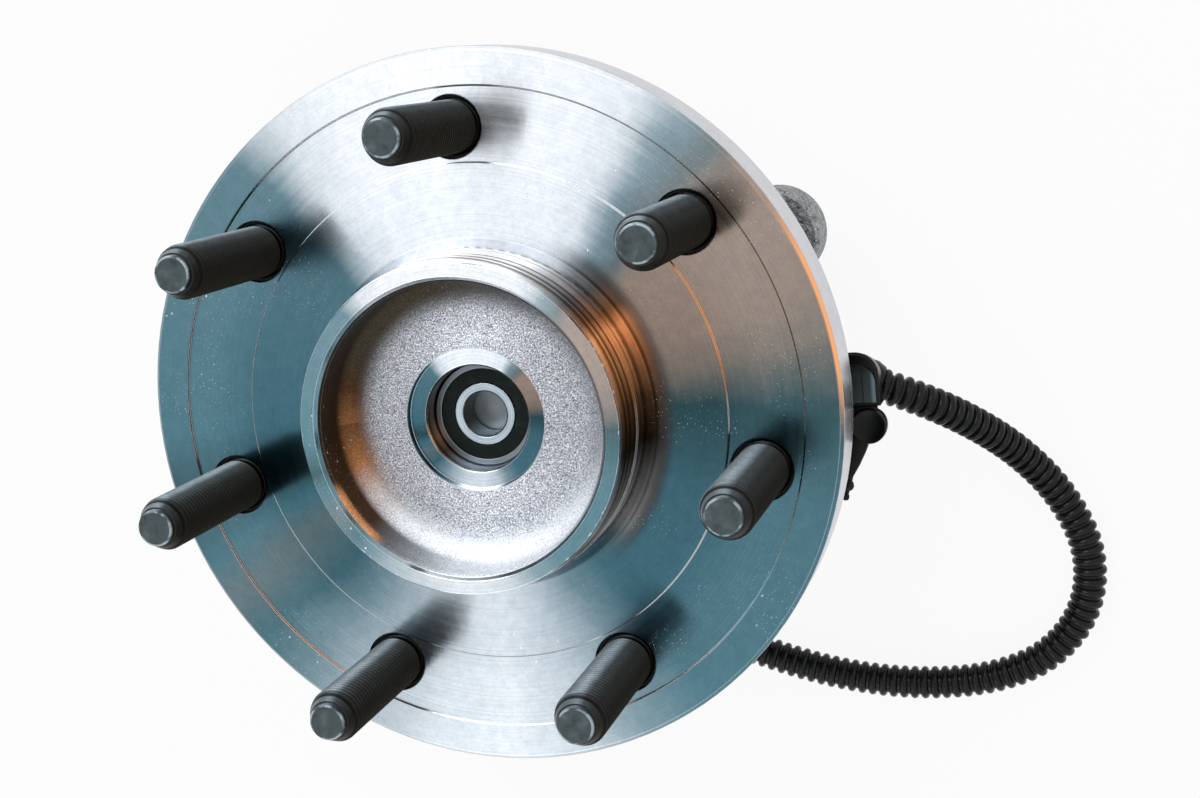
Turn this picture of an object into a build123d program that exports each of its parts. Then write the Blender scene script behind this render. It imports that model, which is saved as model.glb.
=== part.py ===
from build123d import *
import os
from math import cos, radians, sin, tan

# Wheel hub bearing: a studded wheel hub that turns on two rows of tapered rollers inside a
# bolt-on outer ring, with a small ball bearing in its nose, a drive ring, a wheel-speed sensor
# and the sensor's lead in its ribbed sleeve.
# Millimetres. The origin is the centre of the face that bolts to the knuckle, on the spin axis.
# +Z points outboard to the wheel, +Y through the first wheel stud and +X along the sensor.

# Two measures this near each other are the same place
same_place = 0.01

# Wheel flange
wheel_face_z = 64.0
flange_radius = 95.0
flange_thickness = 16.0
flange_edge_chamfer = 1.0
flange_rim_width = 9.8
stud_band_inset = 9.1
stud_band_depth = 0.6
flange_root_radius = 60.0
flange_root_height = 1.4
flange_root_fillet = 2.5

# Pilot that centres the brake disc and the wheel
brake_pilot_radius = 44.0
brake_pilot_height = 6.0
wheel_pilot_step = 0.45
pilot_height = 18.7
pilot_lead_length = 3.2
pilot_lead_depth = 0.9
pilot_base_fillet = 1.0
pilot_wall = 5.65
recess_mouth_width = 1.3
recess_mouth_depth = 1.8
recess_floor_edge = 1.95
recess_floor_middle = 4.9
recess_floor_fillet = 4.0
spot_face_width = 4.5
spot_face_height = 3.1
spot_face_slope = 0.4

# Wheel studs
stud_count = 7
stud_circle = 150.0
stud_thread_radius = 6.9
stud_shank_step = 0.35
stud_shank_length = 13.0
stud_neck_depth = 0.7
stud_neck_length = 2.0
stud_head_step = 3.75
stud_head_thickness = 5.0
stud_head_edge = 0.8
stud_reach = 45.0
stud_point_step = 2.15
stud_point_length = 1.6
stud_taper_length = 3.4
stud_counterbore_step = 0.95
stud_counterbore_depth = 2.0

# Outer ring, its knuckle flange and its pilot
ring_radius = 51.0
ring_top_z = 45.0
ring_edge_chamfer = 0.8
ring_wall = 4.5
seal_floor_spread = 19.0
knuckle_pilot_step = 0.5
knuckle_pilot_length = 7.0
knuckle_disc_radius = 62.0
knuckle_thickness = 13.0
knuckle_root_fillet = 4.0
lug_count = 4
lug_first_angle = 27.5
lug_circle = 158.0
lug_radius = 13.15
lug_blend = 9.0
lug_edge_chamfer = 1.0
lug_hole_radius = 6.0
lug_hole_chamfer = 1.0

# Two rows of tapered rollers, set back to back about the mid plane
mid_plane_z = 19.5
row_spread = 12.25
row_depth = 13.5
roller_count = 22
roller_length = 14.0
roller_middle_radius = 4.24
roller_tilt = 18.0
roller_taper = 2.0
roller_clearance = 0.12

# Ribs and lands beside the rows, as steps from the rows' radius
land_step = 2.3
middle_rib_step = 1.1
small_rib_height = 1.0

# Roller cages, as offsets outwards from the rollers' axes
cage_inner_off = 0.5
cage_outer_off = 1.8
cage_small_margin = 2.0
cage_large_margin = 1.6
cage_window_clearance = 0.15

# Teeth of the tone ring and of the drive ring
tooth_tip_share = 0.8

# Tone ring, which stands inside the middle rib
tone_ring_gap = 2.2
tone_ring_depth = 5.2
tone_ring_width = 5.0
tone_tooth_count = 48
tone_tooth_depth = 2.2

# Hub spindle
ring_seat_step = 4.2
spindle_wall = 9.0
cavity_chamfer = 1.2
web_thickness = 5.2
web_hole_step = 2.0
lip_thickness = 3.0
lip_step = 3.5
lip_round = 1.8

# Loose inner ring and the drive ring beside it
inner_ring_end_z = -6.5
inner_ring_shoulder_z = 16.0
bore_chamfer = 1.0
drive_ring_thickness = 6.5
drive_ring_depth = 6.5
drive_tooth_count = 48
drive_tooth_depth = 1.5

# Seals
seal_sheet = 1.0
seal_recess = 0.6
seal_floor_gap = 0.3
seal_web_width = 2.9
seal_heel = 0.9
lip_clearance = 0.3
main_lip_back = 1.1
main_lip_drop = 2.4
main_lip_slant = 0.4
main_lip_land = 0.5
lip_notch = 1.5
lip_root = 0.7
dust_lip_rise = 0.5
dust_lip_land = 0.3
slinger_sheet = 0.8
slinger_gap = 0.6
slinger_recess = 0.3

# Small sealed ball bearing in the hub's nose
nose_bearing_radius = 14.0
nose_bearing_bore = 6.0
nose_bearing_width = 8.0
nose_ball_count = 8
nose_ball_radius = 2.38
nose_ball_clearance = 0.12
nose_groove_wall = 1.8
nose_outer_wall = 2.4
nose_inner_wall = 2.2
nose_seal_thickness = 0.7
nose_seal_recess = 0.15
nose_edge_chamfer = 0.4
nose_cage_wall = 1.4
nose_cage_rim = 0.35
nose_cage_crown = 1.2
plug_gap = 0.5
plug_thickness = 3.2
plug_rim = 1.4
plug_dish = 1.6

# Wheel-speed sensor
sensor_air_gap = 1.0
sensor_tip_radius = 3.2
sensor_tip_clearance = 0.3
sensor_tip_grip = 7.5
barrel_radius = 5.95
barrel_clearance = 0.15
barrel_hole_depth = 13.0
barrel_end_gap = 0.5
boss_height = 6.0
boss_sunk = 8.5
o_ring_section = 0.9
o_ring_squeeze = 0.05
o_ring_depth = 6.6
ear_thickness = 5.0
ear_round = 9.5
ear_relief = 0.5
screw_offset = -17.0
screw_round = 8.0
bushing_radius = 5.0
bushing_wall = 1.7
bushing_proud = 0.2
screw_radius = 3.0
screw_length = 17.0
screw_head_radius = 5.2
screw_head_height = 4.4
screw_head_round = 1.0
screw_socket_size = 5.0
screw_socket_depth = 2.6

# Sensor head: neck, block, hood and inset lid
head_middle_y = 0.2
head_width = 14.4
neck_width = 15.0
neck_height = 12.0
neck_round = 4.0
head_bottom_z = 14.0
head_height = 16.0
head_end_x = 95.5
head_length = 15.0
head_round = 2.5
hood_height = 6.0
hood_back = 1.5
hood_front = 4.3
hood_corner = 6.0
hood_edge = 0.7
lid_side_rim = 3.0
lid_end_rim = 0.8
lid_depth = 1.2
lid_drop = 0.2
lid_gap = 0.1

# Harness clip on the head's side
clip_gap = 0.1
clip_lift = 1.0
clip_drop = 0.4
clip_tab_x = 96.7
clip_tab_reach = 5.1
clip_tab_radius = 4.6
clip_start_x = 82.0
clip_arm_length = 20.0
clip_arm_start_x = 84.0
clip_arm_width = 6.2
clip_stem_width = 2.6
clip_stem_length = 7.0
clip_barb_width = 6.4
clip_barb_pitch = 2.8
clip_barb_count = 2

# Lead in its ribbed sleeve, as a plain tube along the middle of the real one
conduit_diameter = 9.5
conduit_bend_share = 0.45
collar_wall = 1.75
collar_cover = 4.5
collar_clearance = 0.05
floor_z = -16.0
conduit_route = [
    (97.5, -4.2, 20.0),
    (107.5, -8.5, 18.5),
    (120.0, -17.5, 8.0),
    (131.5, -29.0, -4.0),
    (142.0, -43.0, -11.0),
    (149.5, -59.5, -11.0),
    (148.0, -77.0, -11.0),
    (137.5, -91.0, -11.0),
    (121.5, -98.0, -11.0),
    (102.5, -100.0, -11.0),
    (83.0, -98.5, -11.0),
    (64.0, -94.0, -11.0),
    (45.0, -87.0, -11.0),
    (25.0, -85.0, -11.0),
    (4.5, -81.5, -11.0),
    (-16.5, -74.0, -11.0),
    (-35.0, -61.5, -11.0),
    (-49.0, -45.0, -11.0),
    (-57.5, -26.0, -11.0),
    (-61.5, -6.5, -11.0),
    (-62.5, 10.0, -11.0),
]

# Connector at the lead's far end
connector_width = 19.0
connector_height = 13.8
connector_round = 3.0
connector_lift_off = 0.1
cover_width = 15.0
cover_height = 12.2
cover_length = 11.0
housing_length = 33.0
housing_wall = 1.6
socket_depth = 23.0
connector_seal_wall = 1.5
connector_seal_length = 3.0
terminal_spacing = 6.4
terminal_width = 2.8
terminal_thickness = 0.8
terminal_length = 24.0
terminal_root = 5.0
lock_width = 8.0
lock_height = 1.7
lock_length = 19.0
lock_start = 4.0
lock_ridge_height = 1.0
lock_ridge_length = 2.4

# Radii of the flange, the pilot and the studs, from their steps
stud_band_inner = stud_circle / 2 - stud_band_inset
stud_band_outer = flange_radius - flange_rim_width
wheel_pilot_radius = brake_pilot_radius - wheel_pilot_step
recess_radius = wheel_pilot_radius - pilot_wall
stud_shank_radius = stud_thread_radius + stud_shank_step
stud_head_radius = stud_shank_radius + stud_head_step
stud_point_radius = stud_thread_radius - stud_point_step
stud_counterbore_radius = stud_shank_radius + stud_counterbore_step

# Radii of the bearing, from the outer ring inwards
seal_bore_radius = ring_radius - ring_wall
knuckle_pilot_radius = ring_radius - knuckle_pilot_step
row_radius = ring_radius - row_depth
land_radius = row_radius + land_step
middle_rib_radius = row_radius + middle_rib_step
tone_ring_radius = middle_rib_radius - tone_ring_gap
tone_seat_radius = tone_ring_radius - tone_ring_depth
ring_seat_radius = tone_seat_radius - ring_seat_step
drive_ring_radius = ring_seat_radius + drive_ring_depth
lip_radius = ring_seat_radius + lip_step
cavity_radius = ring_seat_radius - spindle_wall

# Radii of the nose bearing, from its outside and its bore
nose_ball_track = (nose_bearing_radius + nose_bearing_bore) / 2
nose_cage_inner = nose_ball_track - nose_cage_wall / 2
nose_cage_outer = nose_ball_track + nose_cage_wall / 2
nose_seal_groove = nose_bearing_radius - nose_groove_wall
nose_outer_land = nose_bearing_radius - nose_outer_wall
nose_inner_land = nose_bearing_bore + nose_inner_wall
web_hole_radius = nose_bearing_radius - web_hole_step
spot_face_radius = nose_bearing_radius + spot_face_width

# Heights
wheel_back_z = wheel_face_z - flange_thickness
nose_bearing_bottom_z = wheel_back_z + web_thickness
nose_bearing_middle_z = nose_bearing_bottom_z + nose_bearing_width / 2
nose_bearing_top_z = nose_bearing_bottom_z + nose_bearing_width
drive_ring_end_z = inner_ring_end_z - drive_ring_thickness
tone_ring_top_z = mid_plane_z + tone_ring_width / 2
slinger_bottom_z = inner_ring_end_z + bore_chamfer + slinger_recess
slinger_top_z = slinger_bottom_z + slinger_sheet
hood_bottom_z = head_bottom_z + head_height
hood_top_z = hood_bottom_z + hood_height

# The sensor along X, from the outer ring outwards
boss_inner_x = ring_radius - boss_sunk
boss_face_x = ring_radius + boss_height
barrel_hole_end_x = boss_face_x - barrel_hole_depth
o_ring_x = boss_face_x - o_ring_depth
ear_end_x = boss_face_x + ear_thickness
neck_end_x = head_end_x - head_length
hood_start_x = neck_end_x - hood_back
hood_end_x = head_end_x + hood_front

# The sensor's side faces and clearances
head_side_y = head_middle_y - head_width / 2
clip_tab_y = head_side_y - clip_tab_reach
clip_arm_end_y = head_side_y - clip_arm_length
clip_arm_end_x = clip_arm_start_x + clip_arm_width
sensor_tip_hole_radius = sensor_tip_radius + sensor_tip_clearance
barrel_hole_radius = barrel_radius + barrel_clearance
conduit_radius = conduit_diameter / 2


def turned(*points):
    """Turn a closed outline of (radius, height) points about the spin axis."""
    outline = Polyline(*[(radius, 0, height) for radius, height in points], close=True)
    return revolve(make_face(outline.edges()), Axis.Z)


def round_edges(solid, radius, height):
    """The round edges of a turned solid at this radius and height."""
    circles = solid.edges().filter_by(GeomType.CIRCLE)
    same_size = [edge for edge in circles if abs(edge.radius - radius) < same_place]
    return [edge for edge in same_size if abs(edge.arc_center.Z - height) < same_place]


def group(parts):
    """Several separate solids as one shape."""
    return Compound([solid for part in parts for solid in part.solids()])


def ring_of(part, count):
    """Evenly spaced copies of a part about the spin axis."""
    return [spot * part for spot in PolarLocations(0, count)]


def bar(radius, start, end, bore=0.0):
    """A round bar or tube about the spin axis from one height to another."""
    outline = [(bore, start), (radius, start), (radius, end), (bore, end)]
    return turned(*outline)


def row_point(side, along, off):
    """Radius and height of a point along a roller's axis and off it, away from the spin axis."""
    tilt = radians(roller_tilt)
    radius = row_radius + along * sin(tilt) + off * cos(tilt)
    spread = row_spread + along * cos(tilt) - off * sin(tilt)
    return (radius, mid_plane_z + side * spread)


def rib_point(side, along, radius):
    """The point at this radius on the face square to a roller's axis."""
    tilt = radians(roller_tilt)
    off = (radius - row_radius - along * sin(tilt)) / cos(tilt)
    return row_point(side, along, off)


def race_point(side, along, face):
    """A point on a row's inner race, for face -1, or on its outer race, for face 1."""
    roller_radius = roller_middle_radius + along * tan(radians(roller_taper))
    return row_point(side, along, face * (roller_radius + roller_clearance))


def outer_race_at_radius(side, radius):
    """The point of the outer race at this radius."""
    tilt, slope = radians(roller_tilt), tan(radians(roller_taper))
    gap = roller_middle_radius + roller_clearance
    along = (radius - row_radius - gap * cos(tilt)) / (sin(tilt) + slope * cos(tilt))
    return race_point(side, along, 1)


def outer_race_at_spread(side, spread):
    """The point of the outer race at this distance from the mid plane."""
    tilt, slope = radians(roller_tilt), tan(radians(roller_taper))
    gap = roller_middle_radius + roller_clearance
    along = (spread - row_spread + gap * sin(tilt)) / (cos(tilt) - slope * sin(tilt))
    return race_point(side, along, 1)


def inner_race_outline(side):
    """Inner race between its ribs, from the land at the large end to the small rib."""
    large_end = roller_length / 2 + roller_clearance
    small_end = -large_end
    rib_off = race_point(side, small_end, -1)[0] + small_rib_height
    return [
        rib_point(side, large_end, land_radius),
        race_point(side, large_end, -1),
        race_point(side, small_end, -1),
        rib_point(side, small_end, rib_off),
    ]


def hub_flange():
    """Forged wheel hub: flange, pilot, recess, spindle and outboard race in one piece."""
    face = wheel_face_z
    pilot_top = face + pilot_height
    spot_face = face + spot_face_height
    band_floor = face - stud_band_depth
    root_z = wheel_back_z - flange_root_height
    lip_z = drive_ring_end_z - lip_thickness
    race = inner_race_outline(1)
    small_rib_radius = race[-1][0]
    hub = turned(
        (cavity_radius, lip_z),
        (cavity_radius, wheel_back_z),
        (web_hole_radius, wheel_back_z),
        (web_hole_radius, nose_bearing_bottom_z),
        (nose_bearing_radius, nose_bearing_bottom_z),
        (nose_bearing_radius, spot_face - nose_edge_chamfer),
        (nose_bearing_radius + nose_edge_chamfer, spot_face),
        (spot_face_radius, spot_face),
        (spot_face_radius + spot_face_slope, face + recess_floor_middle),
        (recess_radius, face + recess_floor_edge),
        (recess_radius, pilot_top - recess_mouth_depth),
        (recess_radius + recess_mouth_width, pilot_top),
        (wheel_pilot_radius - pilot_lead_depth, pilot_top),
        (wheel_pilot_radius, pilot_top - pilot_lead_length),
        (wheel_pilot_radius, face + brake_pilot_height),
        (brake_pilot_radius, face + brake_pilot_height),
        (brake_pilot_radius, face),
        (stud_band_inner, face),
        (stud_band_inner, band_floor),
        (stud_band_outer, band_floor),
        (stud_band_outer, face),
        (flange_radius, face),
        (flange_radius, wheel_back_z),
        (flange_root_radius + flange_root_height, wheel_back_z),
        (flange_root_radius, root_z),
        (land_radius, root_z),
        *race,
        (small_rib_radius, tone_ring_top_z),
        (tone_seat_radius, tone_ring_top_z),
        (tone_seat_radius, inner_ring_shoulder_z),
        (ring_seat_radius, inner_ring_shoulder_z),
        (ring_seat_radius, drive_ring_end_z),
        (lip_radius, drive_ring_end_z),
        (lip_radius, lip_z),
    )
    hub = chamfer(round_edges(hub, flange_radius, face), flange_edge_chamfer)
    hub = chamfer(round_edges(hub, flange_radius, wheel_back_z), flange_edge_chamfer)
    hub = chamfer(round_edges(hub, cavity_radius, lip_z), cavity_chamfer)
    hub = fillet(round_edges(hub, recess_radius, face + recess_floor_edge), recess_floor_fillet)
    hub = fillet(round_edges(hub, brake_pilot_radius, face), pilot_base_fillet)
    hub = fillet(round_edges(hub, land_radius, root_z), flange_root_fillet)
    hub = fillet(round_edges(hub, lip_radius, lip_z), lip_round)
    hole = bar(stud_shank_radius, wheel_back_z, face)
    hole += bar(stud_counterbore_radius, face - stud_counterbore_depth, face)
    for spot in PolarLocations(stud_circle / 2, stud_count, start_angle=90):
        hub -= spot * hole
    return hub


def wheel_stud():
    """Pressed-in wheel stud with a plain thread, on the spin axis before it is placed."""
    back, tip = wheel_back_z, wheel_face_z + stud_reach
    head = back - stud_head_thickness
    shank_end = back + stud_shank_length
    neck = stud_thread_radius - stud_neck_depth
    return turned(
        (0, head),
        (stud_head_radius - stud_head_edge, head),
        (stud_head_radius, head + stud_head_edge),
        (stud_head_radius, back),
        (stud_shank_radius, back),
        (stud_shank_radius, shank_end),
        (neck, shank_end + stud_neck_depth),
        (neck, shank_end + stud_neck_length),
        (stud_thread_radius, shank_end + stud_neck_length + stud_neck_depth),
        (stud_thread_radius, tip - stud_point_length - stud_taper_length),
        (stud_point_radius, tip - stud_point_length),
        (stud_point_radius, tip),
        (0, tip),
    )


def rollers(side):
    """One row of tapered rollers, with their large ends away from the mid plane."""
    tilt, slope = radians(roller_tilt), tan(radians(roller_taper))
    radius, height = row_point(side, 0, 0)
    axis = Plane(origin=(radius, 0, height), x_dir=(0, 1, 0), z_dir=(sin(tilt), 0, side * cos(tilt)))
    small_radius = roller_middle_radius - slope * roller_length / 2
    large_radius = roller_middle_radius + slope * roller_length / 2
    roller = Cone(small_radius, large_radius, roller_length)
    return group(ring_of(axis * roller, roller_count))


def cage(side):
    """Cone-shaped cage with a window for each roller of a row."""
    tilt, slope = radians(roller_tilt), tan(radians(roller_taper))
    half = roller_length / 2
    small_end, large_end = -half - cage_small_margin, half + cage_large_margin
    shell = turned(
        row_point(side, small_end, cage_inner_off),
        row_point(side, large_end, cage_inner_off),
        row_point(side, large_end, cage_outer_off),
        row_point(side, small_end, cage_outer_off),
    )
    radius, height = row_point(side, 0, 0)
    roller_plane = Plane(
        origin=(radius, 0, height),
        x_dir=(sin(tilt), 0, side * cos(tilt)),
        z_dir=(cos(tilt), 0, -side * sin(tilt)),
    )
    reach = half + cage_window_clearance
    small_width = roller_middle_radius - slope * reach + cage_window_clearance
    large_width = roller_middle_radius + slope * reach + cage_window_clearance
    window = Polygon(
        (-reach, -small_width),
        (reach, -large_width),
        (reach, large_width),
        (-reach, small_width),
        align=None,
    )
    cut = extrude(roller_plane * window, cage_outer_off + roller_middle_radius)
    for opening in ring_of(cut, roller_count):
        shell -= opening
    return shell


def toothed_ring(bore, root_radius, tip_radius, bottom, top, count):
    """Ring with straight-sided outer teeth, each half a pitch wide at its root."""
    ring = bar(root_radius, bottom, top, bore)
    pitch = radians(360 / count)
    root_half = root_radius * pitch / 4
    tip_half = root_half * tooth_tip_share
    overlap = (root_radius + bore) / 2
    tooth = Polygon(
        (overlap, -root_half),
        (root_radius, -root_half),
        (tip_radius, -tip_half),
        (tip_radius, tip_half),
        (root_radius, root_half),
        (overlap, root_half),
        align=None,
    )
    teeth = extrude(Pos(0, 0, bottom) * tooth, top - bottom)
    return ring + ring_of(teeth, count)


def tone_ring():
    """Toothed ring between the rows, which the sensor reads."""
    root_radius = tone_ring_radius - tone_tooth_depth
    bottom = mid_plane_z - tone_ring_width / 2
    return toothed_ring(
        tone_seat_radius, root_radius, tone_ring_radius, bottom, tone_ring_top_z, tone_tooth_count
    )


def drive_ring():
    """Toothed ring on the spindle's end, which the wheel-end clutch slides onto."""
    root_radius = drive_ring_radius - drive_tooth_depth
    return toothed_ring(
        ring_seat_radius,
        root_radius,
        drive_ring_radius,
        drive_ring_end_z,
        inner_ring_end_z,
        drive_tooth_count,
    )


def inner_ring():
    """Loose inner ring that carries the inboard race."""
    race = inner_race_outline(-1)
    small_rib_radius = race[-1][0]
    ring = turned(
        (ring_seat_radius, inner_ring_end_z),
        (land_radius, inner_ring_end_z),
        *race,
        (small_rib_radius, inner_ring_shoulder_z),
        (ring_seat_radius, inner_ring_shoulder_z),
    )
    return chamfer(round_edges(ring, land_radius, inner_ring_end_z), bore_chamfer)


def ear_outline(grow=0.0):
    """Outline round the sensor's barrel and its screw, in the plane of the ear."""
    rounds = Circle(ear_round + grow) + Pos(screw_offset, 0) * Circle(screw_round + grow)
    return make_hull(rounds.edges())


def sensor_plane(x, y=0.0, z=mid_plane_z):
    """Plane across the sensor at x, with its own x along +Y and its own y along +Z."""
    return Plane(origin=(x, y, z), x_dir=(0, 1, 0), z_dir=(1, 0, 0))


def cross_bar(radius, start, end, y=0.0):
    """Round bar along the sensor's axis from x to x."""
    return extrude(sensor_plane(start, y) * Circle(radius), end - start)


def outer_ring():
    """Stationary outer ring with both outer races, the knuckle flange and the sensor boss."""
    top_floor = mid_plane_z + seal_floor_spread
    bottom_floor = mid_plane_z - seal_floor_spread
    ring = turned(
        (seal_bore_radius, ring_top_z),
        (ring_radius, ring_top_z),
        (ring_radius, knuckle_thickness),
        (knuckle_disc_radius, knuckle_thickness),
        (knuckle_disc_radius, 0),
        (knuckle_pilot_radius, 0),
        (knuckle_pilot_radius, -knuckle_pilot_length),
        (seal_bore_radius, -knuckle_pilot_length),
        (seal_bore_radius, bottom_floor),
        outer_race_at_spread(-1, seal_floor_spread),
        outer_race_at_radius(-1, middle_rib_radius),
        outer_race_at_radius(1, middle_rib_radius),
        outer_race_at_spread(1, seal_floor_spread),
        (seal_bore_radius, top_floor),
    )
    ring = chamfer(round_edges(ring, ring_radius, ring_top_z), ring_edge_chamfer)
    ring = chamfer(
        round_edges(ring, knuckle_pilot_radius, -knuckle_pilot_length), ring_edge_chamfer
    )
    ring = fillet(round_edges(ring, ring_radius, knuckle_thickness), knuckle_root_fillet)
    ring += knuckle_lugs()
    boss_depth = boss_face_x - boss_inner_x
    ring += extrude(sensor_plane(boss_inner_x) * ear_outline(), boss_depth)
    ring -= extrude(sensor_plane(boss_face_x) * ear_outline(ear_relief), ear_thickness + ear_relief)
    hole = bar(lug_hole_radius, 0, knuckle_thickness)
    countersink = Pos(0, 0, knuckle_thickness - lug_hole_chamfer / 2) * Cone(
        lug_hole_radius, lug_hole_radius + lug_hole_chamfer, lug_hole_chamfer
    )
    for spot in PolarLocations(lug_circle / 2, lug_count, start_angle=lug_first_angle):
        ring -= spot * (hole + countersink)
    ring -= cross_bar(barrel_hole_radius, barrel_hole_end_x, boss_face_x)
    ring -= cross_bar(sensor_tip_hole_radius, tone_ring_radius, barrel_hole_end_x)
    screw_end_x = ear_end_x + bushing_proud - screw_length
    return ring - cross_bar(screw_radius, screw_end_x - screw_radius, boss_face_x, screw_offset)


def knuckle_lugs():
    """Four bolt lugs, blended into the knuckle flange's disc."""
    disc = Circle(knuckle_disc_radius)
    reach = lug_circle / 2
    arm = Pos(reach / 2, 0) * Rectangle(reach, 2 * lug_radius)
    lug = arm + Pos(reach, 0) * Circle(lug_radius)
    outline = disc
    for spot in PolarLocations(0, lug_count, start_angle=lug_first_angle):
        outline += spot * lug
    disc_edge = knuckle_disc_radius + same_place
    corners = [point for point in outline.vertices() if Vector(*point).length < disc_edge]
    outline = fillet(corners, lug_blend)
    plate = extrude(outline, knuckle_thickness)
    plate = chamfer(plate.faces().sort_by(Axis.Z)[-1].outer_wire().edges(), lug_edge_chamfer)
    return plate - bar(ring_radius - ring_edge_chamfer, 0, knuckle_thickness)


def outboard_seal_case():
    """Pressed steel case in the outer ring's outboard seal bore."""
    top = ring_top_z - seal_recess
    bottom = mid_plane_z + seal_floor_spread + seal_floor_gap
    wall_radius = seal_bore_radius - seal_sheet
    web_radius = wall_radius - seal_web_width
    return turned(
        (seal_bore_radius, bottom),
        (seal_bore_radius, top),
        (web_radius, top),
        (web_radius, top - seal_sheet),
        (wall_radius, top - seal_sheet),
        (wall_radius, bottom),
    )


def main_lip(edge, under):
    """Outline of a seal's main lip, from its back to the notch behind its edge."""
    edge_start = under - main_lip_drop + main_lip_slant
    return [
        (edge + main_lip_back, under - main_lip_drop),
        (edge, edge_start),
        (edge, edge_start + main_lip_land),
        (edge + lip_notch, under - lip_root),
    ]


def outboard_seal_lip():
    """Rubber moulded under the outboard case, with a main lip and a dust lip by the hub's land."""
    top = ring_top_z - seal_recess
    under = top - seal_sheet
    wall_radius = seal_bore_radius - seal_sheet
    web_radius = wall_radius - seal_web_width
    edge = land_radius + lip_clearance
    return turned(
        (wall_radius, under),
        (wall_radius, under - seal_heel),
        (web_radius + seal_heel, under - seal_heel),
        *main_lip(edge, under),
        (edge + lip_notch, under),
        (edge, under + dust_lip_rise),
        (edge, under + dust_lip_rise + dust_lip_land),
        (web_radius, top),
        (web_radius, under),
    )


def inboard_seal_case():
    """Pressed steel case in the outer ring's inboard seal bore."""
    top = mid_plane_z - seal_floor_spread - seal_floor_gap
    bottom = slinger_top_z + slinger_gap
    wall_radius = seal_bore_radius - seal_sheet
    web_radius = wall_radius - seal_web_width + seal_sheet
    return turned(
        (seal_bore_radius, bottom),
        (seal_bore_radius, top),
        (web_radius, top),
        (web_radius, top - seal_sheet),
        (wall_radius, top - seal_sheet),
        (wall_radius, bottom),
    )


def inboard_seal_lip():
    """Rubber moulded on the inboard case, with its lip by the slinger's sleeve."""
    under = mid_plane_z - seal_floor_spread - seal_floor_gap - seal_sheet
    wall_radius = seal_bore_radius - seal_sheet
    web_radius = wall_radius - seal_web_width + seal_sheet
    edge = land_radius + slinger_sheet + lip_clearance
    return turned(
        (wall_radius, under),
        (wall_radius, under - seal_heel),
        (web_radius, under - seal_heel),
        *main_lip(edge, under),
        (web_radius, under),
    )


def inboard_slinger():
    """Pressed steel slinger on the inner ring, which closes the inboard seal."""
    sleeve_top = mid_plane_z - seal_floor_spread - seal_floor_gap - 2 * seal_sheet
    sleeve_radius = land_radius + slinger_sheet
    rim_radius = seal_bore_radius - slinger_gap
    return turned(
        (land_radius, slinger_bottom_z),
        (rim_radius, slinger_bottom_z),
        (rim_radius, slinger_top_z),
        (sleeve_radius, slinger_top_z),
        (sleeve_radius, sleeve_top),
        (land_radius, sleeve_top),
    )


def nose_race():
    """Tube-shaped space that the balls of the nose bearing roll in."""
    tube_radius = nose_ball_radius + nose_ball_clearance
    return Pos(0, 0, nose_bearing_middle_z) * Torus(nose_ball_track, tube_radius)


def nose_outer_ring():
    """Outer ring of the nose bearing, pressed into the hub, with a seal groove at each end."""
    bottom, top = nose_bearing_bottom_z, nose_bearing_top_z
    groove = nose_seal_recess + nose_seal_thickness
    ring = turned(
        (nose_outer_land, bottom + groove),
        (nose_seal_groove, bottom + groove),
        (nose_seal_groove, bottom),
        (nose_bearing_radius, bottom),
        (nose_bearing_radius, top),
        (nose_seal_groove, top),
        (nose_seal_groove, top - groove),
        (nose_outer_land, top - groove),
    )
    ring = chamfer(round_edges(ring, nose_bearing_radius, top), nose_edge_chamfer)
    return ring - nose_race()


def nose_inner_ring():
    """Inner ring of the nose bearing, which turns with the half shaft's end."""
    ring = bar(nose_inner_land, nose_bearing_bottom_z, nose_bearing_top_z, nose_bearing_bore)
    ring = chamfer(round_edges(ring, nose_bearing_bore, nose_bearing_top_z), nose_edge_chamfer)
    ring = chamfer(round_edges(ring, nose_bearing_bore, nose_bearing_bottom_z), nose_edge_chamfer)
    return ring - nose_race()


def nose_seal(outboard):
    """Rubber seal ring of the nose bearing, held in the outer ring's groove."""
    if outboard:
        top = nose_bearing_top_z - nose_seal_recess
        bottom = top - nose_seal_thickness
    else:
        bottom = nose_bearing_bottom_z + nose_seal_recess
        top = bottom + nose_seal_thickness
    inner_radius = nose_inner_land + lip_clearance
    return bar(nose_seal_groove, bottom, top, inner_radius)


def nose_balls():
    """Balls of the nose bearing."""
    ball = Pos(nose_ball_track, 0, nose_bearing_middle_z) * Sphere(nose_ball_radius)
    return group(ring_of(ball, nose_ball_count))


def nose_cage():
    """Crown cage that is open towards the wheel, with a round pocket for each ball."""
    pocket_radius = nose_ball_radius + nose_ball_clearance
    bottom = nose_bearing_middle_z - pocket_radius - nose_cage_rim
    top = nose_bearing_middle_z + nose_cage_crown
    crown = bar(nose_cage_outer, bottom, top, nose_cage_inner)
    pocket = Pos(nose_ball_track, 0, nose_bearing_middle_z) * Sphere(pocket_radius)
    for opening in ring_of(pocket, nose_ball_count):
        crown -= opening
    return crown


def bore_plug():
    """Dished plug in the web's hole, just behind the nose bearing."""
    top = nose_bearing_bottom_z - plug_gap
    bottom = top - plug_thickness
    dish_radius = web_hole_radius - plug_rim
    return turned(
        (0, bottom + plug_dish),
        (dish_radius, bottom + plug_dish),
        (dish_radius, bottom),
        (web_hole_radius, bottom),
        (web_hole_radius, top),
        (0, top),
    )


def sensor_tip():
    """Sensor's pole piece, which ends an air gap away from the tone ring."""
    start = tone_ring_radius + sensor_air_gap
    return cross_bar(sensor_tip_radius, start, barrel_hole_end_x + sensor_tip_grip)


def o_ring_middle():
    """Radius of the middle of the o-ring's section."""
    return barrel_hole_radius - o_ring_squeeze - o_ring_section


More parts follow.
